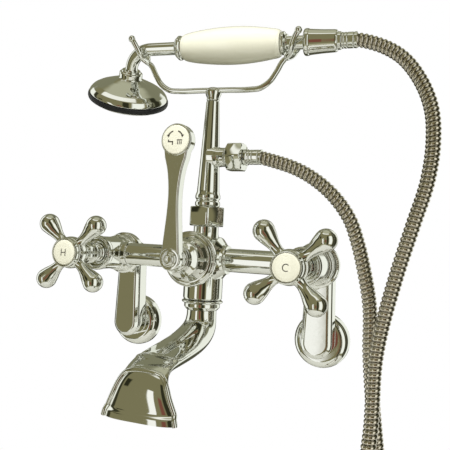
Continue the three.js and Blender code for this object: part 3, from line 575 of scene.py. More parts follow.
class MixerSizes(bpy.types.PropertyGroup):
    """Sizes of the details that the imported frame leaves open."""

    hose_diameter: size_in_metres("Hose diameter", "Outside diameter of the spiral hose", 0.0114)
    strip_pitch: size_in_metres("Strip pitch", "From one turn of the hose's strip to the next", 0.0038)
    groove_depth: size_in_metres("Groove depth", "Depth between two turns of the strip", 0.0009)
    spout_rib: size_in_metres("Spout rib", "Height of the rib along the top of the spout", 0.0021)
    button_mark: size_in_metres("Index letter", "Height of the letters on the two index buttons", 0.0056)
    floor_radius: size_in_metres("Floor radius", "Radius of the pale floor under the object", 0.6)


class MixerColours(bpy.types.PropertyGroup):
    """Finishes of the pieces and of the stage."""

    chrome: colour_of("Chrome", "Plated brass castings and turned pieces", (0.86, 0.87, 0.84))
    porcelain: colour_of("Porcelain", "Hand shower grip and the buttons", (0.93, 0.92, 0.78))
    hose: colour_of("Hose strip", "Plated strip of the spiral hose", (0.76, 0.7, 0.6))
    steel: colour_of("Steel", "Screws inside the handles", (0.55, 0.56, 0.56))
    brass: colour_of("Brass", "Stems, diverter cartridge and wall bushings", (0.62, 0.42, 0.16))
    rubber: colour_of("Rubber", "Washers, seal and the shower head's gasket", (0.012, 0.013, 0.015))
    enamel: colour_of("Enamel", "Marks on the buttons", (0.11, 0.10, 0.085))
    floor: colour_of("Floor", "The pale floor", (0.86, 0.86, 0.84))


def sizes():
    return bpy.context.scene.mixer_sizes


def colours():
    return bpy.context.scene.mixer_colours


# Stage --------------------------------------------------------------------------------------------

# What the bright metal sees: (azimuth from, to, elevation from, to, softness, colour), in degrees, azimuth
# from straight ahead of the taps and growing towards the cold side. Later panels lie over earlier ones.
STUDIO = (
    (-180, 180, -90, 9, 6, (0.08, 0.08, 0.05)),
    (-97, 97, -90, 90, 9, (0.215, 0.2, 0.105)),
    (-180, 180, 67, 90, 5, (0.46, 0.46, 0.33)),
    (-60, 60, 57, 66, 3, (1.0, 1.0, 0.92)),
    (-180, 180, -90, -54, 3, (0.05, 0.05, 0.026)),
    (-40, 40, -52, -37, 2, (0.42, 0.41, 0.28)),
    (-24.5, -12, -35, 13, 1, (1.05, 1.05, 1.0)),
    (44, 76, -34, 40, 3, (1.0, 1.02, 0.94)),
    (138, 176, -40, 46, 3, (0.95, 0.97, 0.88)),
    (-108, -78, -42, 46, 3, (1.0, 1.02, 0.94)),
    (-54, -38, 12, 30, 2, (0.025, 0.025, 0.012)),
    (-50, -28, -37, -29, 2, (0.05, 0.05, 0.025)),
    (2, 15, -22, 4, 3, (0.20, 0.075, 0.05)),
    (20, 36, -60, 40, 2, (0.03, 0.03, 0.015)),
    (-76, -62, -50, 50, 2, (0.04, 0.04, 0.02)),
    (84, 104, -60, 50, 3, (0.05, 0.05, 0.03)),
    (108, 130, -30, 60, 4, (0.03, 0.03, 0.016)),
)
SURROUND = (0.22, 0.22, 0.14)


def studio_light(scene):
    """The world: plain white where the camera looks at it, and for light and reflections a dim surround
    with the studio's panels and dark gaps. A panel's share is the product of its soft steps, one at each of
    its edges."""
    world = bpy.data.worlds.new("studio")
    scene.world = world
    world.use_nodes = True
    tree = world.node_tree
    tree.nodes.clear()

    def result_of(operation, first, second=0.5):
        return add_node(tree, "ShaderNodeMath", {0: first, 1: second}, operation=operation).outputs[0]

    direction = add_node(tree, "ShaderNodeTexCoord").outputs["Generated"]
    way = add_node(tree, "ShaderNodeSeparateXYZ", {0: direction}).outputs
    ahead = result_of("MULTIPLY", way["Y"], -1.0)
    swing = result_of("ARCTAN2", way["X"], ahead)
    rise = result_of("ARCSINE", way["Z"])
    angles = [result_of("MULTIPLY", angle, 180 / math.pi) for angle in (swing, rise)]

    def step(angle, at, soft, rising):
        return add_node(tree, "ShaderNodeMapRange", {
            "Value": angle, "From Min": at - soft, "From Max": at + soft,
            "To Min": 0.0 if rising else 1.0, "To Max": 1.0 if rising else 0.0,
        }, interpolation_type="SMOOTHSTEP").outputs["Result"]

    seen = opaque(SURROUND)
    for az0, az1, el0, el1, soft, colour in STUDIO:
        share = 1.0
        for angle, low, high in ((angles[0], az0, az1), (angles[1], el0, el1)):
            for at, rising in ((low, True), (high, False)):
                if abs(at) < 90 or (angle == angles[0] and abs(at) < 180):
                    share = result_of("MULTIPLY", share, step(angle, at, soft, rising))
        seen = blend_of(tree, share, seen, opaque(colour))
    lit = add_node(tree, "ShaderNodeBackground", {"Color": seen, "Strength": 1.0})
    plain = add_node(tree, "ShaderNodeBackground", {"Color": (1, 1, 1, 1), "Strength": 1.0})
    looking = add_node(tree, "ShaderNodeLightPath").outputs["Is Camera Ray"]
    mixed = add_node(tree, "ShaderNodeMixShader", {0: looking, 1: lit.outputs[0], 2: plain.outputs[0]})
    add_node(tree, "ShaderNodeOutputWorld", {"Surface": mixed.outputs[0]})


def soft_lamp(name, at, aim, size, power):
    lamp = bpy.data.lights.new(name, "AREA")
    lamp.shape = "DISK"
    lamp.size = size
    lamp.energy = power
    holder = bpy.data.objects.new(name, lamp)
    bpy.context.scene.collection.objects.link(holder)
    holder.location = at
    holder.rotation_mode = "QUATERNION"
    holder.rotation_quaternion = (Vector(aim) - Vector(at)).to_track_quat("-Z", "Y")
    holder.visible_glossy = False


# The camera's place from the hub in metres, the way it looks, its lean in degrees, and its lens in
# millimetres.
CAMERA_PLACE = Vector((0.20584, -0.46747, 0.01656))
CAMERA_GAZE = Vector((-0.374469, 0.926902, 0.025003))
CAMERA_LEAN = 3.06
CAMERA_LENS = 48.2446
FLOOR_LOW, FLOOR_TOP = -528.0, -526.0


class MIXER_OT_stage(bpy.types.Operator):
    """The camera, the soft studio light and the pale floor"""

    bl_idname = "mixer.stage"
    bl_label = "Stage"

    def execute(self, context):
        scene = context.scene
        lens = bpy.data.cameras.new("camera")
        lens.sensor_width = 36.0
        lens.lens = CAMERA_LENS
        lens.clip_start, lens.clip_end = 0.01, 20.0
        camera = bpy.data.objects.new("camera", lens)
        scene.collection.objects.link(camera)
        scene.camera = camera
        camera.location = HUB + CAMERA_PLACE
        camera.rotation_mode = "QUATERNION"
        lean = Quaternion((0, 0, 1), math.radians(CAMERA_LEAN))
        camera.rotation_quaternion = CAMERA_GAZE.to_track_quat("-Z", "Y") @ lean
        scene.view_settings.view_transform = "Standard"
        studio_light(scene)
        soft_lamp("overhead lamp", (-0.25, -0.75, 0.9), (0.05, -0.06, 0.05), 0.7, 11.0)
        soft_lamp("side lamp", (0.9, -0.5, 0.35), (0.05, -0.06, 0.0), 0.5, 4.0)
        a = np.linspace(0, 2 * np.pi, 96, endpoint=False)
        outer = sizes().floor_radius
        radii = np.array([[outer], [outer - 0.002], [0.3]]) / MM
        heights = np.array([[FLOOR_LOW], [FLOOR_TOP], [FLOOR_TOP]])
        rings = np.stack([radii * np.cos(a), radii * np.sin(a), np.broadcast_to(heights, (3, 96))], -1)
        points, faces = skin(rings, ends=((0, 0, FLOOR_LOW), (0, 0, FLOOR_TOP)))
        mesh = bpy.data.meshes.new("floor")
        corners = [tuple(f) for group in faces for f in group.tolist()]
        mesh.from_pydata(metres(points).tolist(), [], corners)
        pale = colours().floor
        mesh.materials.append(finished_with(
            "pale floor", uneven_polish(),
            {"Tint": opaque(pale), "Shade": opaque(pale, 0.97), "Scale": 8.0,
             "Smoothest": 0.7, "Roughest": 0.8},
            0.02,
        ))
        floor = bpy.data.objects.new("floor", mesh)
        scene.collection.objects.link(floor)
        return {"FINISHED"}


# Hose ---------------------------------------------------------------------------------------------

HOSE_START = np.array([41.7, 0.0, BRANCH_HEIGHT])
HOSE_END = HANDSET[:3, :3] @ (112.2, 0, 0) + (0, 0, GRIP_HEIGHT)
HOSE_ROUTE = (
    (49, 0, 84.9), (61.3, 0, 81.6), (73.6, 0, 77.6), (85.7, 0.5, 71.8), (97.2, 1, 64.1),
    (109.1, 2, 53), (120.2, 3, 37.4), (126.9, 4, 19.8), (132, 5, 0.8), (137.6, 6, -26.5),
    (139.6, 6, -64.6), (146.8, 6, -126.4), (158, 5, -200), (171, 3, -272), (179, 1, -334),
    (178, 0, -374), (165, -1.5, -408), (141, -3, -424), (116, -5, -409), (102, -6.5, -376),
    (104, -7.5, -326), (118, -8.5, -256), (135, -9, -190), (144.6, -9, -122), (146.4, -9, -62),
    (158.4, -9, -2.2), (168.3, -8, 34.9), (176.9, -5, 68.4), (179.3, -2, 98.2), (177, 1, 121.2),
    (167.6, 5, 145.2), (151.5, 8.6, 166), (132, 10, 177.2),
)
RINGS_PER_TURN, HOSE_SIDES = 11, 20


class MIXER_OT_hose(bpy.types.Operator):
    """The spiral hose, from the riser's branch down through its loop and up to the hand shower"""

    bl_idname = "mixer.hose"
    bl_label = "Hose"

    def execute(self, context):
        """Radius R - depth g at path length s and angle a, where g is the square of the cosine ridge of the
        winding phase s / pitch - a / turn: one groove that winds round the hose."""
        given = sizes()
        pitch, depth = given.strip_pitch / MM, given.groove_depth / MM
        radius = given.hose_diameter / MM / 2
        along = HANDSET[:3, 0]
        start, end = HOSE_START, HOSE_END
        stops = [start, start + (3, 0, 0), *HOSE_ROUTE, end + 4 * along, end]
        path = flowing(stops, pitch / RINGS_PER_TURN)
        aside, across = framed(path, (0, 1, 0))
        run = np.concatenate([[0], np.cumsum(np.linalg.norm(np.diff(path, axis=0), axis=1))])
        a = np.linspace(0, 2 * np.pi, HOSE_SIDES, endpoint=False)
        phase = run[:, None] / pitch - a[None] / (2 * np.pi)
        groove = (0.5 + 0.5 * np.cos(2 * np.pi * phase)) ** 2
        a = a[None, :, None]
        around = np.cos(a) * aside[:, None] + np.sin(a) * across[:, None]
        rings = path[:, None] + (radius - depth * groove)[..., None] * around
        shell = skin(rings, ends=(path[0], path[-1]))
        hose = set_down("spiral_hose", shell, None, "spiral_hose", "hose")
        # The groove mask also goes to the mesh as the attribute groove, which the hose's finish uses to paint
        # shade into the grooves.
        mark = hose.data.attributes.new("groove", "FLOAT", "POINT")
        mark.data.foreach_set("value", np.concatenate([groove.ravel(), [0, 0]]).astype(np.float32))
        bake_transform(hose)
        return {"FINISHED"}


# Body ---------------------------------------------------------------------------------------------


class MIXER_OT_body(bpy.types.Operator):
    """The cast body: hub, bars, valve barrels and the diverter barrel"""

    bl_idname = "mixer.body"
    bl_label = "Mixer body"

    def execute(self, context):
        hub = turned([
            (0, -34.4), (16.4, -34.4), (16.4, -8), (17.4, 0), (15.8, 9), (12.1, 16.4), (10.5, 20.5),
            (10.5, 27.2), (8.8, 27.2), (8.8, 36.7), (0, 36.7),
        ], ease=2.2)
        reach = VALVE_REACH
        half_bar = [
            (18.6, 14), (15.6, 16.4), (13.2, 18.6), (11.9, 20.6), (11.9, 21.6), (9.7, 21.9),
            (9.7, reach - 19.5), (10.8, reach - 19), (10.8, reach - 14.6), (9.9, reach - 14),
            (9.9, reach), (0, reach),
        ]
        bars = turned([(r, -x) for r, x in reversed(half_bar)] + half_bar, RIGHTWARD, ease=0.5)
        diverter_barrel = turned([(0, 0), (17.5, 0), (17.5, 26), (0, 26)], FORWARD)
        valve = [
            (0, -20.6), (12.5, -20.6), (12.5, -15), (16.2, -15), (16.6, -13.8), (16.2, -12.6),
            (15.7, -12.3), (16.3, -11), (16.1, -9.5), (15.1, -8.9), (15.1, -3.6), (14.2, -2.6),
            (14.2, 20), (0, 20),
        ]
        valves = [turned(valve, shift(side * reach, 0, 0) @ FORWARD, ease=0.5) for side in SIDES.values()]
        body = together(hub, bars, diverter_barrel, *valves)
        set_down("cast_body", body, "mixer", "chrome", "mixer_body")
        return {"FINISHED"}


class MIXER_OT_bonnets(bpy.types.Operator):
    """The two valve bonnets, each a rim round a hollow face with its gland nut"""

    bl_idname = "mixer.bonnets"
    bl_label = "Valve bonnets"

    def execute(self, context):
        ring = [
            (8.3, 12.3), (10.3, 12.3), (10.3, 20.3), (14.2, 20.3), (14.9, 21.4), (14.9, 24.4), (14.2, 26.2),
            (13.2, 26.6), (12.2, 26.1), (10.2, 23.9), (8.3, 23.4),
        ]
        gland = [
            (4.3, -4), (8.0, -4), (8.0, 24.4), (7.2, 25.2), (6.9, 26.6), (6.1, 27.2), (5.9, 28.4),
            (6.4, 29), (6.4, 30.6), (5.9, 31.1), (4.3, 31.1),
        ]
        for name, side in SIDES.items():
            place = shift(side * VALVE_REACH, 0, 0) @ FORWARD
            rim = turned(ring, place, ease=0.45)
            set_down(name + "_bonnet_rim", rim, "mixer", "chrome", name + "_bonnet")
            nut = turned(gland, place, ease=0.35)
            set_down(name + "_gland_nut", nut, "mixer", "chrome", name + "_cartridge")
        return {"FINISHED"}


# Cross handles ------------------------------------------------------------------------------------


CROSS_DEPTH = 60.5


def handle_arm():
    """One arm of the cross along +Z: a slim waist that swells into a round knob, turned about its
    length."""
    centre, knob = 31.8, 8.1
    a = np.radians(np.linspace(-18, 90, 24))
    ball = np.stack([knob * np.cos(a), centre + knob * np.sin(a)], -1)
    stops = [(5.6, 8), (4.6, 11.5), (4.1, 14.5), (4.3, 17.5), (5.3, 21.5), (6.8, 26), tuple(ball[0])]
    waist = flowing(stops, 0.7)
    rows = np.vstack([[(0, 8)], waist[:-1], ball])
    rows[-1] = (0, centre + knob)
    return turned(rows, ease=0.05, sides=56)


class MIXER_OT_handles(bpy.types.Operator):
    """The two cross handles with their index bezels, porcelain buttons and marks"""

    bl_idname = "mixer.handles"
    bl_label = "Cross handles"

    def execute(self, context):
        hub = [
            (0, 33.5), (8.4, 33.5), (9.2, 34.6), (9.2, 36.4), (8.0, 38.4), (7.4, 41.5), (7.9, 45.5),
            (9.0, 50), (11.6, 54.8), (12.9, 58.6), (12.9, 62.2), (11.9, 65.5), (0, 65.5),
        ]
        bezel = [
            (0, 65.8), (11.3, 65.8), (11.9, 67), (11.9, 69.2), (11.2, 70.4), (10.5, 70.3), (10.4, 67.6),
            (0, 67.5),
        ]
        disc = [(0, 67.4), (10.25, 67.4), (10.25, 69.6), (9.6, 70.25), (7.6, 70.6), (4.2, 70.8), (0, 70.86)]
        size = sizes().button_mark / MM
        letters = {
            "hot": [
                bar_mark(-0.34 * size, 0, 0.13 * size, size), bar_mark(0.34 * size, 0, 0.13 * size, size),
                bar_mark(0, 0, 0.56 * size, 0.12 * size),
            ],
            "cold": [arc_band(0.44 * size, 0.12 * size, 50, 310) + (0.06 * size, 0)],
        }
        for name, side in SIDES.items():
            turn = spin("Y", -COLD_TURN) if name == "cold" else UPWARD
            place = shift(side * VALVE_REACH, 0, 0) @ turn
            body = name + "_handle"
            front = place @ FORWARD
            middle = place @ shift(0, -CROSS_DEPTH, 0)
            arms = [moved(handle_arm(), middle @ spin("Y", 45 + 90 * k)) for k in range(4)]
            cross = together(turned(hub, front, ease=1.2), *arms)
            set_down(name + "_cross", cross, body, "chrome", name + "_cross_handle")
            cup = turned(bezel, front, ease=0.35)
            set_down(name + "_bezel_cup", cup, body, "chrome", name + "_index_bezel")
            face = turned(disc, front, ease=0.4)
            set_down(name + "_button_face", face, body, "porcelain", name + "_index_button")
            mark = together(*(prism(outline, 70.4, 70.92, front) for outline in letters[name]))
            set_down(name + "_letter", mark, body, "rubber", finish=enamel())
        return {"FINISHED"}


# Diverter -----------------------------------------------------------------------------------------


LEVER_HEAD, LEVER_HEAD_RADIUS, LEVER_FOOT_RADIUS = 89.7, 12.5, 8.6
ARROW_RADIUS = 6.6


def lever_outline():
    """The lever's edge from its foot up one side and down the other: half widths (w, z) on a smooth line,
    then the head's circle."""
    foot = [
        (LEVER_FOOT_RADIUS * math.sin(a), -LEVER_FOOT_RADIUS * math.cos(a)) for a in np.linspace(0, 2.1, 14)
    ]
    shoulder = (9.2, 77.6)
    stops = [foot[-1], (6.5, 14), (5.8, 22), (4.7, 36), (4.3, 47), (4.9, 58), (6.4, 68), shoulder]
    stem = flowing(stops, 1.5)
    start = math.atan2(shoulder[1] - LEVER_HEAD, shoulder[0])
    head = [
        (LEVER_HEAD_RADIUS * math.cos(a), LEVER_HEAD + LEVER_HEAD_RADIUS * math.sin(a))
        for a in np.linspace(start + 0.22, math.pi / 2, 26)
    ]
    right = np.vstack([foot, stem[1:-1], head])
    right[0, 0], right[-1, 0] = 0, 0
    left = right[1:-1][::-1] * (-1, 1)
    return np.vstack([right, left])


class MIXER_OT_diverter(bpy.types.Operator):
    """The diverter: ringed bonnet, upright lever, its screw and the porcelain button with two arrows"""

    bl_idname = "mixer.diverter"
    bl_label = "Diverter"

    def execute(self, context):
        bonnet = [
            (0, 26.3), (21.4, 26.3), (22.4, 27.4), (22.4, 29.8), (21.7, 30.6), (20.9, 30.6), (20.6, 31.2),
            (20.1, 32.2), (18.7, 32.9), (17.8, 32.9), (17.3, 34), (15.6, 36.6), (14.1, 40), (13.3, 42.6),
            (13.6, 43.4), (14.5, 44), (14.5, 46), (13.5, 46.8), (12.2, 47.8), (10.8, 49.2), (10.2, 51),
            (10.2, 55), (0, 55),
        ]
        rings = turned(bonnet, FORWARD, ease=0.5)
        set_down("ringed_bonnet", rings, "mixer", "chrome", "diverter_bonnet")
        bar = slab(lever_outline(), [(3, 56.6), (0, 56.6), (0, 65.2), (3, 65.2)], 1.2, UPWARD)
        boss = turned([
            (0, 55.2), (8.8, 55.2), (9.6, 56), (9.6, 58.2), (8.4, 59), (8.4, 65), (7.8, 65.5), (6.4, 65.6),
            (6.2, 65.3), (0, 65.3),
        ], FORWARD, 0.5)
        head = shift(0, 0, LEVER_HEAD) @ FORWARD
        rim = turned([(10.9, 64.8), (12.1, 64.8), (11.8, 65.75), (11.2, 65.75)], head, 0.3)
        lever = together(bar, boss, rim)
        set_down("lever_arm", lever, "diverter", "chrome", "diverter_lever")
        screw = [
            (0, 65.4), (5.6, 65.4), (5.7, 66.1), (5.0, 66.7), (4.3, 66.6), (4.1, 67.4), (3.4, 67.95),
            (2.3, 67.95), (2.0, 66.7), (0, 66.6),
        ]
        screw_head = turned(screw, FORWARD, 0.35, 48)
        set_down("lever_screw", screw_head, "diverter", "chrome", "diverter_screw")
        disc = [(0, 63.5), (11.1, 63.5), (11.1, 65.4), (10.4, 66.0), (7.0, 66.3), (0, 66.4)]
        button = turned(disc, head, 0.4)
        set_down("arrow_button", button, "diverter", "porcelain", "diverter_button")
        tip = math.radians(64)
        marks = []
        for way in (1, -1):
            marks += [
                arc_band(ARROW_RADIUS, 1.0, 90 + way * 18, 90 + way * 62),
                np.array([(0, 1.5), (-1.1, -0.9), (1.1, -0.9)][:: way]) @ spin("Z", way * 62)[:2, :2].T
                + (-way * ARROW_RADIUS * math.sin(tip), ARROW_RADIUS * math.cos(tip)),
            ]
        tap = ((-3.8, -1.6, 4.4, 0.9), (-2.1, -2.8, 0.9, 2.4), (-5.5, -0.9, 0.9, 1.6))
        spray = ((3.6, -0.4, 4.4, 0.9), *((2.1 + 1.5 * k, -2.5, 0.7, 2.4) for k in range(3)))
        marks += [bar_mark(*bar) for bar in tap + spray]
        shell = together(*(prism(outline, 66.0, 66.42, head) for outline in marks))
        set_down("arrow_marks", shell, "diverter", "rubber", finish=enamel())
        return {"FINISHED"}


# Spout --------------------------------------------------------------------------------------------

# Sections of the spout, from its neck to its mouth: the side edges' place (y, z), the angle from straight
# ahead of the way the crown faces, half width, crown, inside depth, and the inside curve's sharpness.
SPOUT_STATIONS = np.array([
    (0, -43, 0, 12.4, 12.4, 12.4, 2),
    (0, -49, 0, 12.4, 12.4, 12.4, 2),
    (-2, -57, 25, 14, 11, 12.5, 2),
    (-16, -63.5, 55, 16.5, 7, 13, 1.9),
    (-34, -66.8, 66, 17.5, 4.6, 14, 1.75),
    (-52, -69.2, 72, 18.2, 3.6, 13.5, 1.6),
    (-68, -71.5, 68, 18, 3.2, 13, 1.5),
    (-81, -74, 56, 17, 3.4, 12.5, 1.5),
    (-91, -78.5, 34, 17, 4.0, 13, 1.45),
    (-95.5, -87.5, 13, 20.2, 4.6, 13.8, 1.4),
    (-96.3, -96, 0, 23.2, 5.0, 18, 1.35),
    (-95.7, -104, -8, 27, 5.0, 22.6, 1.35),
    (-95.8, -111, -2, 28.6, 5.0, 25, 1.35),
])


RIB_WIDTH = 2.2
SPOUT_WALL = 2.2
BEAD_RADIUS = 1.9
LIP_FLARE = 2.4


def spout_rings(inset, steps):
    """The spout's rings. The stations' columns follow a uniform cubic B-spline. At angle t a section point
    lies at w cos t across and c sin t out on the crown side, which turns into c (1 - cos^4 t) on the front,
    or d |sin t|^(2/bend) in on the other. A rib, high times exp(-(x / RIB_WIDTH)^2 / 2), runs down the
    middle of the crown, a fold crosses it before the bend, and the lip rolls out by a smooth step."""
    at = np.linspace(0, len(SPOUT_STATIONS) - 1, steps)
    i = np.clip(at.astype(int), 0, len(SPOUT_STATIONS) - 2)
    t = (at - i)[:, None]
    first = 2 * SPOUT_STATIONS[0] - SPOUT_STATIONS[1]
    last = 2 * SPOUT_STATIONS[-1] - SPOUT_STATIONS[-2]
    p = np.vstack([first, SPOUT_STATIONS, last])
    rows = (
        (1 - t) ** 3 * p[i] + (3 * t**3 - 6 * t**2 + 4) * p[i + 1]
        + (-3 * t**3 + 3 * t**2 + 3 * t + 1) * p[i + 2] + t**3 * p[i + 3]
    ) / 6
    y, z, tilt, w, c, d, bend = (column[:, None] for column in rows.T)
    tilt = np.radians(tilt)
    shrink = np.minimum(1, inset / np.maximum(c, 0.1)) * inset
    y, z = y + shrink * np.cos(tilt), z - shrink * np.sin(tilt)
    w, c, d = w - 1.3 * inset, c - inset + shrink, d - inset - shrink
    a = np.linspace(0, 2 * np.pi, 192, endpoint=False)[None]
    across, out = np.cos(a), np.sin(a)
    power = np.where(out < 0, 2 / bend, 1)
    x = w * np.sign(across) * np.abs(across) ** power
    place = at[:, None]
    arched = np.clip((place - 7) / 1.6, 0, 1)
    pillow = (1 - arched) * out + arched * (1 - across**4)
    rise = np.where(out < 0, -d * np.abs(out) ** power, c * pillow)
    if inset == 0:
        ease_in = np.clip((place - 1.6) / 1.2, 0, 1)
        ease_out = np.clip((6.3 - place) / 0.5, 0, 1)
        rib = sizes().spout_rib / MM * np.exp(-((x / RIB_WIDTH) ** 2) / 2) * ease_in * ease_out
        fold = 1.0 * np.exp(-((place - 6.5) / 0.22) ** 2)
        roll = np.clip((-103.6 - z) / 3.4, 0, 1)
        lip = LIP_FLARE * roll**2 * (3 - 2 * roll)
        rise = rise + np.where(out > 0, (rib + fold) * np.minimum(1, 4 * out) + lip, 0)
    return np.stack([x, y - rise * np.cos(tilt), z + rise * np.sin(tilt)], -1)


def shield_bead(outside):
    """The bead round the spout's front: a rod that follows the outside surface through places given as
    (station, angle), up one edge, over the arch and down the other. Between rows and angles the surface is
    read off in proportion."""
    steps, sides = outside.shape[:2]
    stops = np.array([
        (12, 9), (11.4, 9), (10.6, 10), (9.8, 12), (9.1, 16), (8.55, 25), (8.25, 38), (8.1, 60),
        (8.05, 90),
    ], float)
    stops = np.vstack([stops, (stops * (1, -1) + (0, 180))[-2::-1]])
    line = flowing(stops * (20, 1), 4) / (20, 1)
    row = line[:, 0] / (len(SPOUT_STATIONS) - 1) * (steps - 1)
    turn = line[:, 1] / 360 * sides
    i, j = np.minimum(row.astype(int), steps - 2), turn.astype(int)
    u, v = (row - i)[:, None], (turn - j)[:, None]
    path = (1 - u) * ((1 - v) * outside[i, j] + v * outside[i, j + 1]) + u * (
        (1 - v) * outside[i + 1, j] + v * outside[i + 1, j + 1]
    )
    return tube(flowing(path, 0.9), BEAD_RADIUS, (0, 1, 0), 16)


class MIXER_OT_spout(bpy.types.Operator):
    """The spout, a ribbed channel that bends down into a wide shield at its open mouth, and its collar"""

    bl_idname = "mixer.spout"
    bl_label = "Spout"

    def execute(self, context):
        outside = spout_rings(0, 150)
        inside = spout_rings(SPOUT_WALL, 60)[12:]
        inside[-1, :, 2] = outside[-1, :, 2].min() + 0.4
        rings = np.vstack([outside, inside[::-1]])
        channel = skin(rings, ends=(outside[0].mean(0), inside[0].mean(0)))
        stub = [(0, -34.8), (11, -34.8), (11, -43), (12.4, -43.3), (12.4, -46), (0, -46)]
        neck = turned(stub, ease=0.4)
        bead = shield_bead(outside)
        set_down("ribbed_spout", together(channel, neck, bead), "mixer", "chrome", "spout")
        collar = [
            (0, -34.7), (16.4, -34.7), (17.2, -35.3), (17.2, -36.3), (16.2, -36.9), (15.1, -37.2),
            (15.1, -40.2), (14.2, -41.4), (13.1, -42.7), (0, -42.7),
        ]
        set_down("neck_collar", turned(collar, ease=0.4), "mixer", "chrome", "spout_collar")
        return {"FINISHED"}


# Riser --------------------------------------------------------------------------------------------


class MIXER_OT_riser(bpy.types.Operator):
    """The riser: its union nut, the tapered column with the hose branch, and the hose's lower end"""

    bl_idname = "mixer.riser"
    bl_label = "Riser"

    def execute(self, context):
        nut = six_sided_nut(16.3, 27.5, 43.6, -6, UPWARD)
        set_down("riser_union", nut, "mixer", "chrome", "riser_nut")
        column = turned([
            (0, 43.9), (9.6, 43.9), (10.6, 45), (10.6, 47.6), (9.5, 49), (9.5, 49.6), (10.6, 51),
            (10.6, 53.4), (10.0, 55), (9.5, 56.5), (5.6, 133.4), (4.2, 133.6), (0, 133.6),
        ], ease=0.8)
        branch = turned([
            (0, 0), (9.6, 0), (9.4, 6), (8.4, 8.6), (8.0, 11), (8.0, 14.6), (8.6, 15.4), (8.6, 16.6),
            (0, 16.9),
        ], BRANCH, ease=0.5)
        set_down("branched_column", together(column, branch), "mixer", "chrome", "riser_column")
        branch_nut = six_sided_nut(12.8, 16.9, 31, 30, BRANCH)
        set_down("branch_nut", branch_nut, "mixer", "chrome", "hose_lower_nut")
        sleeve = hose_ferrule(31.3, 6.7, BRANCH)
        set_down("branch_ferrule", sleeve, "mixer", "chrome", "hose_lower_ferrule")
        return {"FINISHED"}


def hose_ferrule(start, radius, place):
    """A crimped sleeve on a hose's end: a rolled lip, three pressed rings and a slightly rolled far edge."""
    return turned([
        (0, start), (radius + 0.2, start), (radius + 0.3, start + 2.6), (radius - 0.5, start + 3.4),
        (radius - 0.5, start + 4.6), (radius - 0.9, start + 5.1), (radius - 0.5, start + 5.6),
        (radius - 0.5, start + 7.2), (radius - 0.9, start + 7.7), (radius - 0.5, start + 8.2),
        (radius - 0.5, start + 12.3), (radius - 0.9, start + 12.8), (radius - 0.5, start + 13.3),
        (radius - 0.4, start + 15.4), (0, start + 15.4),
    ], place, ease=0.3)


# Arms ---------------------------------------------------------------------------------------------


def arm_outline(top, bottom, drop):
    """A tapered capsule seen from the front: the two circles' far arcs, which the slab's sides join."""
    low = np.linspace(-np.pi / 2, 0, 24)
    high = np.linspace(0, np.pi / 2, 24)
    right = np.vstack([
        np.stack([bottom * np.cos(low), bottom * np.sin(low) - drop], -1),
        np.stack([np.linspace(bottom, top, 12)[1:-1], np.linspace(-drop, 0, 12)[1:-1]], -1),
        np.stack([top * np.cos(high), top * np.sin(high)], -1),
    ])
    right[0, 0], right[-1, 0] = 0, 0
    return np.vstack([right, right[1:-1][::-1] * (-1, 1)])


class MIXER_OT_arms(bpy.types.Operator):
    """The two offset arms, each with its union nut at the valve and its bell flange at the wall"""

    bl_idname = "mixer.arms"
    bl_label = "Arms and flanges"

    def execute(self, context):
        nut = [
            (0, 15.3), (16.4, 15.3), (16.8, 16), (16.8, 17.4), (17.4, 18), (18.9, 18.9), (18.9, 24.2),
            (18.2, 25.2), (15.5, 25.8), (0, 25.8),
        ]
        front = 45.3
        depth, socket = WALL - front, WALL - 8.2
        bell = [
            (12.3, front), (17.6, front), (19.4, front + 0.6), (21.6, front + 0.16 * depth),
            (23.2, front + 0.36 * depth), (24, front + 0.62 * depth), (24, WALL), (15.4, WALL),
            (15.4, socket), (12.3, socket),
        ]
        for name, side in SIDES.items():
            place = shift(side * VALVE_REACH, 0, 0)
            body = name + "_arm"
            low = place @ shift(0, 0, -ARM_DROP)
            rows = [(6, -29), (3.4, -29), (0, -32), (0, -45), (4, -45)]
            bar = slab(arm_outline(11.2, 13.3, ARM_DROP), rows, 1.2, place)
            sleeve = turned([(0, 22.4), (10, 22.4), (10, 30), (0, 30)], place @ BACKWARD)
            tail = turned([(0, 43), (12, 43), (12, 49), (0, 49)], low @ BACKWARD)
            arm = together(bar, sleeve, tail)
            set_down(name + "_offset_arm", arm, body, "chrome", name + "_swing_arm")
            union = turned(nut, place @ BACKWARD, ease=0.5)
            set_down(name + "_union", union, "mixer", "chrome", name + "_union_nut")
            flange = turned(bell, low @ BACKWARD, ease=0.8)
            set_down(name + "_bell_flange", flange, body, "chrome", name + "_wall_flange")
        return {"FINISHED"}


# Cradle -------------------------------------------------------------------------------------------


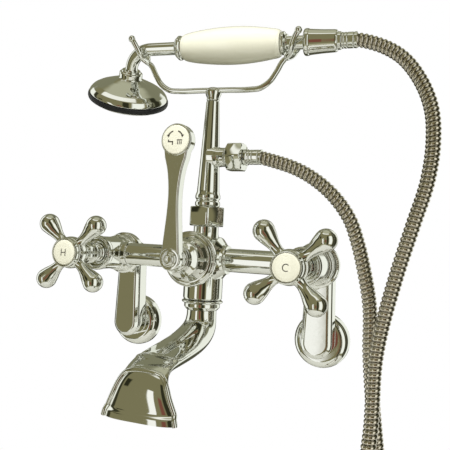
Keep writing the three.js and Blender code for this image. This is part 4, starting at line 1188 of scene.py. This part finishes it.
class MIXER_OT_cradle(bpy.types.Operator):
    """The cradle: a bent rod on the riser with an open fork at each end"""

    bl_idname = "mixer.cradle"
    bl_label = "Cradle"

    def execute(self, context):
        bar_height, rod = 143.3, 2.35
        bend = [
            (61.5, 168.8), (59, 166.2), (54.1, 157.5), (48.6, 149.5), (40, 144.1), (32, bar_height),
            (12, bar_height),
        ]
        right = [(x, 0, z) for x, z in bend]
        line = flowing(right + [(-x, 0, z) for x, z in reversed(bend)], 1.0)
        parts = [tube(line, rod, (0, 1, 0), matrix=CRADLE, round_ends=True)]
        half = np.array([(65.5, 4.4, 171.5), (67.3, 8.9, 176), (70, 11.6, 181.5), (73.2, 12.9, 186.8)])
        prongs = flowing(np.vstack([half[::-1] * (1, -1, 1), [(61.8, 0, 168.9)], half]), 0.8)
        turns = np.linspace(-1.3, 1.3, 11)
        ball = [(0, -3), *[(3 * math.cos(a), 3 * math.sin(a)) for a in turns], (0, 3)]
        for end in (0, 180):
            place = CRADLE @ spin("Z", end)
            parts.append(tube(prongs, rod, (1, 0, 0), matrix=place, round_ends=True))
            tips = (prongs[0], prongs[-1])
            parts += [turned(ball, place @ shift(*tip), ease=0.2, sides=32) for tip in tips]
        socket = turned([
            (0, 133.7), (4.6, 133.7), (5.6, 134.8), (5.3, 136.4), (6.4, 139), (7.0, 141), (6.4, 143.2),
            (4.2, 145.2), (0, 145.8),
        ], ease=0.8)
        set_down("fork_cradle", together(*parts, socket), "mixer", "chrome", "cradle")
        return {"FINISHED"}


# Hand shower --------------------------------------------------------------------------------------


HEAD_SIDES = 96
NECK_TOP, NECK_BEND = 22.5, 22.5


class MIXER_OT_shower_head(bpy.types.Operator):
    """The shower head: domed shell with its collar, rubber gasket and spray plate"""

    bl_idname = "mixer.shower_head"
    bl_label = "Shower head"

    def execute(self, context):
        shell = [
            (0, 3.2), (35.3, 3.2), (35.7, 4), (35.3, 5.2), (33.2, 8), (28.8, 10.9), (22.6, 13.7),
            (16.8, 16.1), (12.8, 18.2), (10.4, 19.6), (10.2, 20.4), (10.4, 21), (10.4, 24.4),
            (9.6, 25.2), (8.6, 25.6), (8.4, 26.6), (7.4, 27.2), (0, 27.2),
        ]
        dome = turned(shell, HEAD_FOOT, ease=0.9, sides=HEAD_SIDES)
        set_down("dome_shell", dome, "handset", "chrome", "shower_head_shell")
        gasket = [
            (30.9, -5.2), (35.2, -5.2), (36.4, -4.7), (36.9, -3.4), (36.8, -1.6), (36.2, -0.4),
            (30.9, -0.3),
        ]
        ring = turned(gasket, HEAD_RIM, ease=0.5, sides=HEAD_SIDES)
        set_down("rim_gasket", ring, "handset", "rubber", "head_gasket")
        plate = [
            (0, -5.9), (8, -5.9), (8.6, -6.3), (9.4, -6.3), (10, -5.9), (29.4, -5.8), (30.2, -6.4),
            (33.2, -6.6), (34.2, -6), (34.2, -5.3), (30.8, -5.1), (30.8, -0.5), (0, -0.5),
        ]
        face = turned(plate, HEAD_RIM, ease=0.4, sides=HEAD_SIDES)
        set_down("spray_face", face, "handset", "chrome", "spray_plate")
        jet = turned([(0.35, -6.6), (0.95, -6.6), (1.15, -5.7), (0.35, -5.7)], ease=0.1, sides=10)
        spots = [
            (r * math.cos(a), r * math.sin(a))
            for r, count in ((4.6, 5), (13.6, 12), (18.6, 18), (23.6, 24))
            for a in np.linspace(0, 2 * math.pi, count, endpoint=False)
        ]
        jets = together(*(moved(jet, HEAD_RIM @ shift(x, y, 0)) for x, y in spots))
        set_down("spray_jets", jets, "handset", "rubber")
        return {"FINISHED"}


def neck_line():
    """The neck's middle line in the hand shower's own plane: straight, an arc, then straight."""
    tilt = math.radians(HEAD_TILT)
    top = HEAD_PLACE + NECK_TOP * np.array([math.sin(tilt), 0, math.cos(tilt)])
    corner = top[0] - top[2] * math.tan(tilt)
    sweep = math.pi / 2 - tilt
    centre = corner + NECK_BEND * math.tan(sweep / 2)
    t = np.linspace(0, sweep, 24)
    arc = np.stack([centre - NECK_BEND * np.sin(t), 0 * t, NECK_BEND * np.cos(t) - NECK_BEND], -1)
    lead = np.linspace((-34, 0, 0), arc[0], 12)[:-1]
    tail = np.linspace(arc[-1], top, 8)[1:]
    return np.vstack([lead, arc, tail])


class MIXER_OT_hand_shower(bpy.types.Operator):
    """The hand shower's neck, ferrules, tube, porcelain grip and the hose's upper end"""

    bl_idname = "mixer.hand_shower"
    bl_label = "Hand shower"

    def execute(self, context):
        along = HANDSET @ RIGHTWARD
        neck = tube(neck_line(), 5.45, (0, 1, 0), 40, HEAD)
        set_down("bent_neck", neck, "handset", "chrome", "handset_neck")
        front = turned([
            (0, -36), (7.6, -36), (8.6, -35.2), (8.9, -34.2), (10.3, -33.4), (10.4, -31.8), (9.4, -30.8),
            (9.2, -29.6), (0, -29.6),
        ], along, 0.4)
        set_down("front_ring", front, "handset", "chrome", "front_ferrule")
        rear = turned([
            (0, 57), (8.9, 57), (9.5, 58), (9.5, 59.6), (8.4, 60.4), (7.4, 61), (7.2, 62.3), (0, 62.3),
        ], along, 0.4)
        set_down("rear_ring", rear, "handset", "chrome", "rear_ferrule")
        inner = turned([(0, 55), (5.5, 55), (5.5, 80), (0, 80)], along, 0.3)
        set_down("bare_tube", inner, "handset", "chrome", "inner_tube")
        barrel = flowing([
            (9.9, -29.3), (10.9, -27.6), (12.4, -22), (13.9, -12), (15.1, 1), (15.6, 14), (15.2, 27),
            (14.0, 39), (12.3, 50), (11.3, 55), (10.3, 56.7),
        ], 1.0)
        grip = turned(np.vstack([[(0, -29.3)], barrel, [(0, 56.7)]]), along, 0.4, 96)
        set_down("ivory_grip", grip, "handset", "porcelain", "porcelain_grip")
        nut = turned([
            (0, 76), (9.6, 76), (10.5, 76.6), (10.9, 77.6), (10.9, 79.6), (10.4, 80.4), (10.2, 81.4),
            (9.4, 91), (8.9, 101.4), (8.2, 103.1), (0, 103.3),
        ], along, 0.5)
        set_down("tapered_nut", nut, "handset", "chrome", "hose_upper_nut")
        sleeve = hose_ferrule(103, 6.9, along)
        set_down("grip_ferrule", sleeve, "handset", "chrome", "hose_upper_ferrule")
        return {"FINISHED"}


class MIXER_OT_inner_parts(bpy.types.Operator):
    """Finishes for the frame's own pieces inside the mixer, which keep their shape"""

    bl_idname = "mixer.inner_parts"
    bl_label = "Inner parts"

    def execute(self, context):
        slots = {
            "brass": ("hot_stem", "cold_stem", "diverter_cartridge",
                      "diverter_stem", "hot_inlet_bushing", "cold_inlet_bushing"),
            "steel": ("hot_handle_screw", "cold_handle_screw"),
            "rubber": ("hot_swivel_washer", "cold_swivel_washer", "riser_washer", "spout_o_ring",
                       "hose_lower_washer", "hose_upper_washer"),
        }
        for slot, names in slots.items():
            for name in names:
                node = frame["nodes"][name]
                node.data.materials.clear()
                node.data.materials.append(FINISH_OF[slot]())
        return {"FINISHED"}


class MIXER_PT_pieces(bpy.types.Panel):
    """The pieces in the order they are made, and the sizes and colours that they use"""

    bl_idname = "MIXER_PT_pieces"
    bl_label = "Bath mixer"
    bl_space_type = "VIEW_3D"
    bl_region_type = "UI"
    bl_category = "Bath mixer"

    def draw(self, context):
        for operator in PIECES:
            self.layout.operator(operator.bl_idname)
        for group in (context.scene.mixer_sizes, context.scene.mixer_colours):
            box = self.layout.box()
            for key in type(group).__annotations__:
                box.prop(group, key)


PIECES = (
    MIXER_OT_stage, MIXER_OT_hose, MIXER_OT_body, MIXER_OT_bonnets, MIXER_OT_handles, MIXER_OT_diverter,
    MIXER_OT_spout, MIXER_OT_riser, MIXER_OT_arms, MIXER_OT_cradle, MIXER_OT_shower_head,
    MIXER_OT_hand_shower, MIXER_OT_inner_parts,
)
CLASSES = (MixerSizes, MixerColours, *PIECES, MIXER_PT_pieces)


def register():
    for cls in CLASSES:
        bpy.utils.register_class(cls)
    bpy.types.Scene.mixer_sizes = bpy.props.PointerProperty(type=MixerSizes)
    bpy.types.Scene.mixer_colours = bpy.props.PointerProperty(type=MixerColours)


def unregister():
    del bpy.types.Scene.mixer_colours
    del bpy.types.Scene.mixer_sizes
    for cls in reversed(CLASSES):
        bpy.utils.unregister_class(cls)


def main():
    register()
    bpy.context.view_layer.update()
    for operator in PIECES:
        getattr(bpy.ops.mixer, operator.bl_idname.split(".")[1])()


if __name__ == "__main__":
    main()
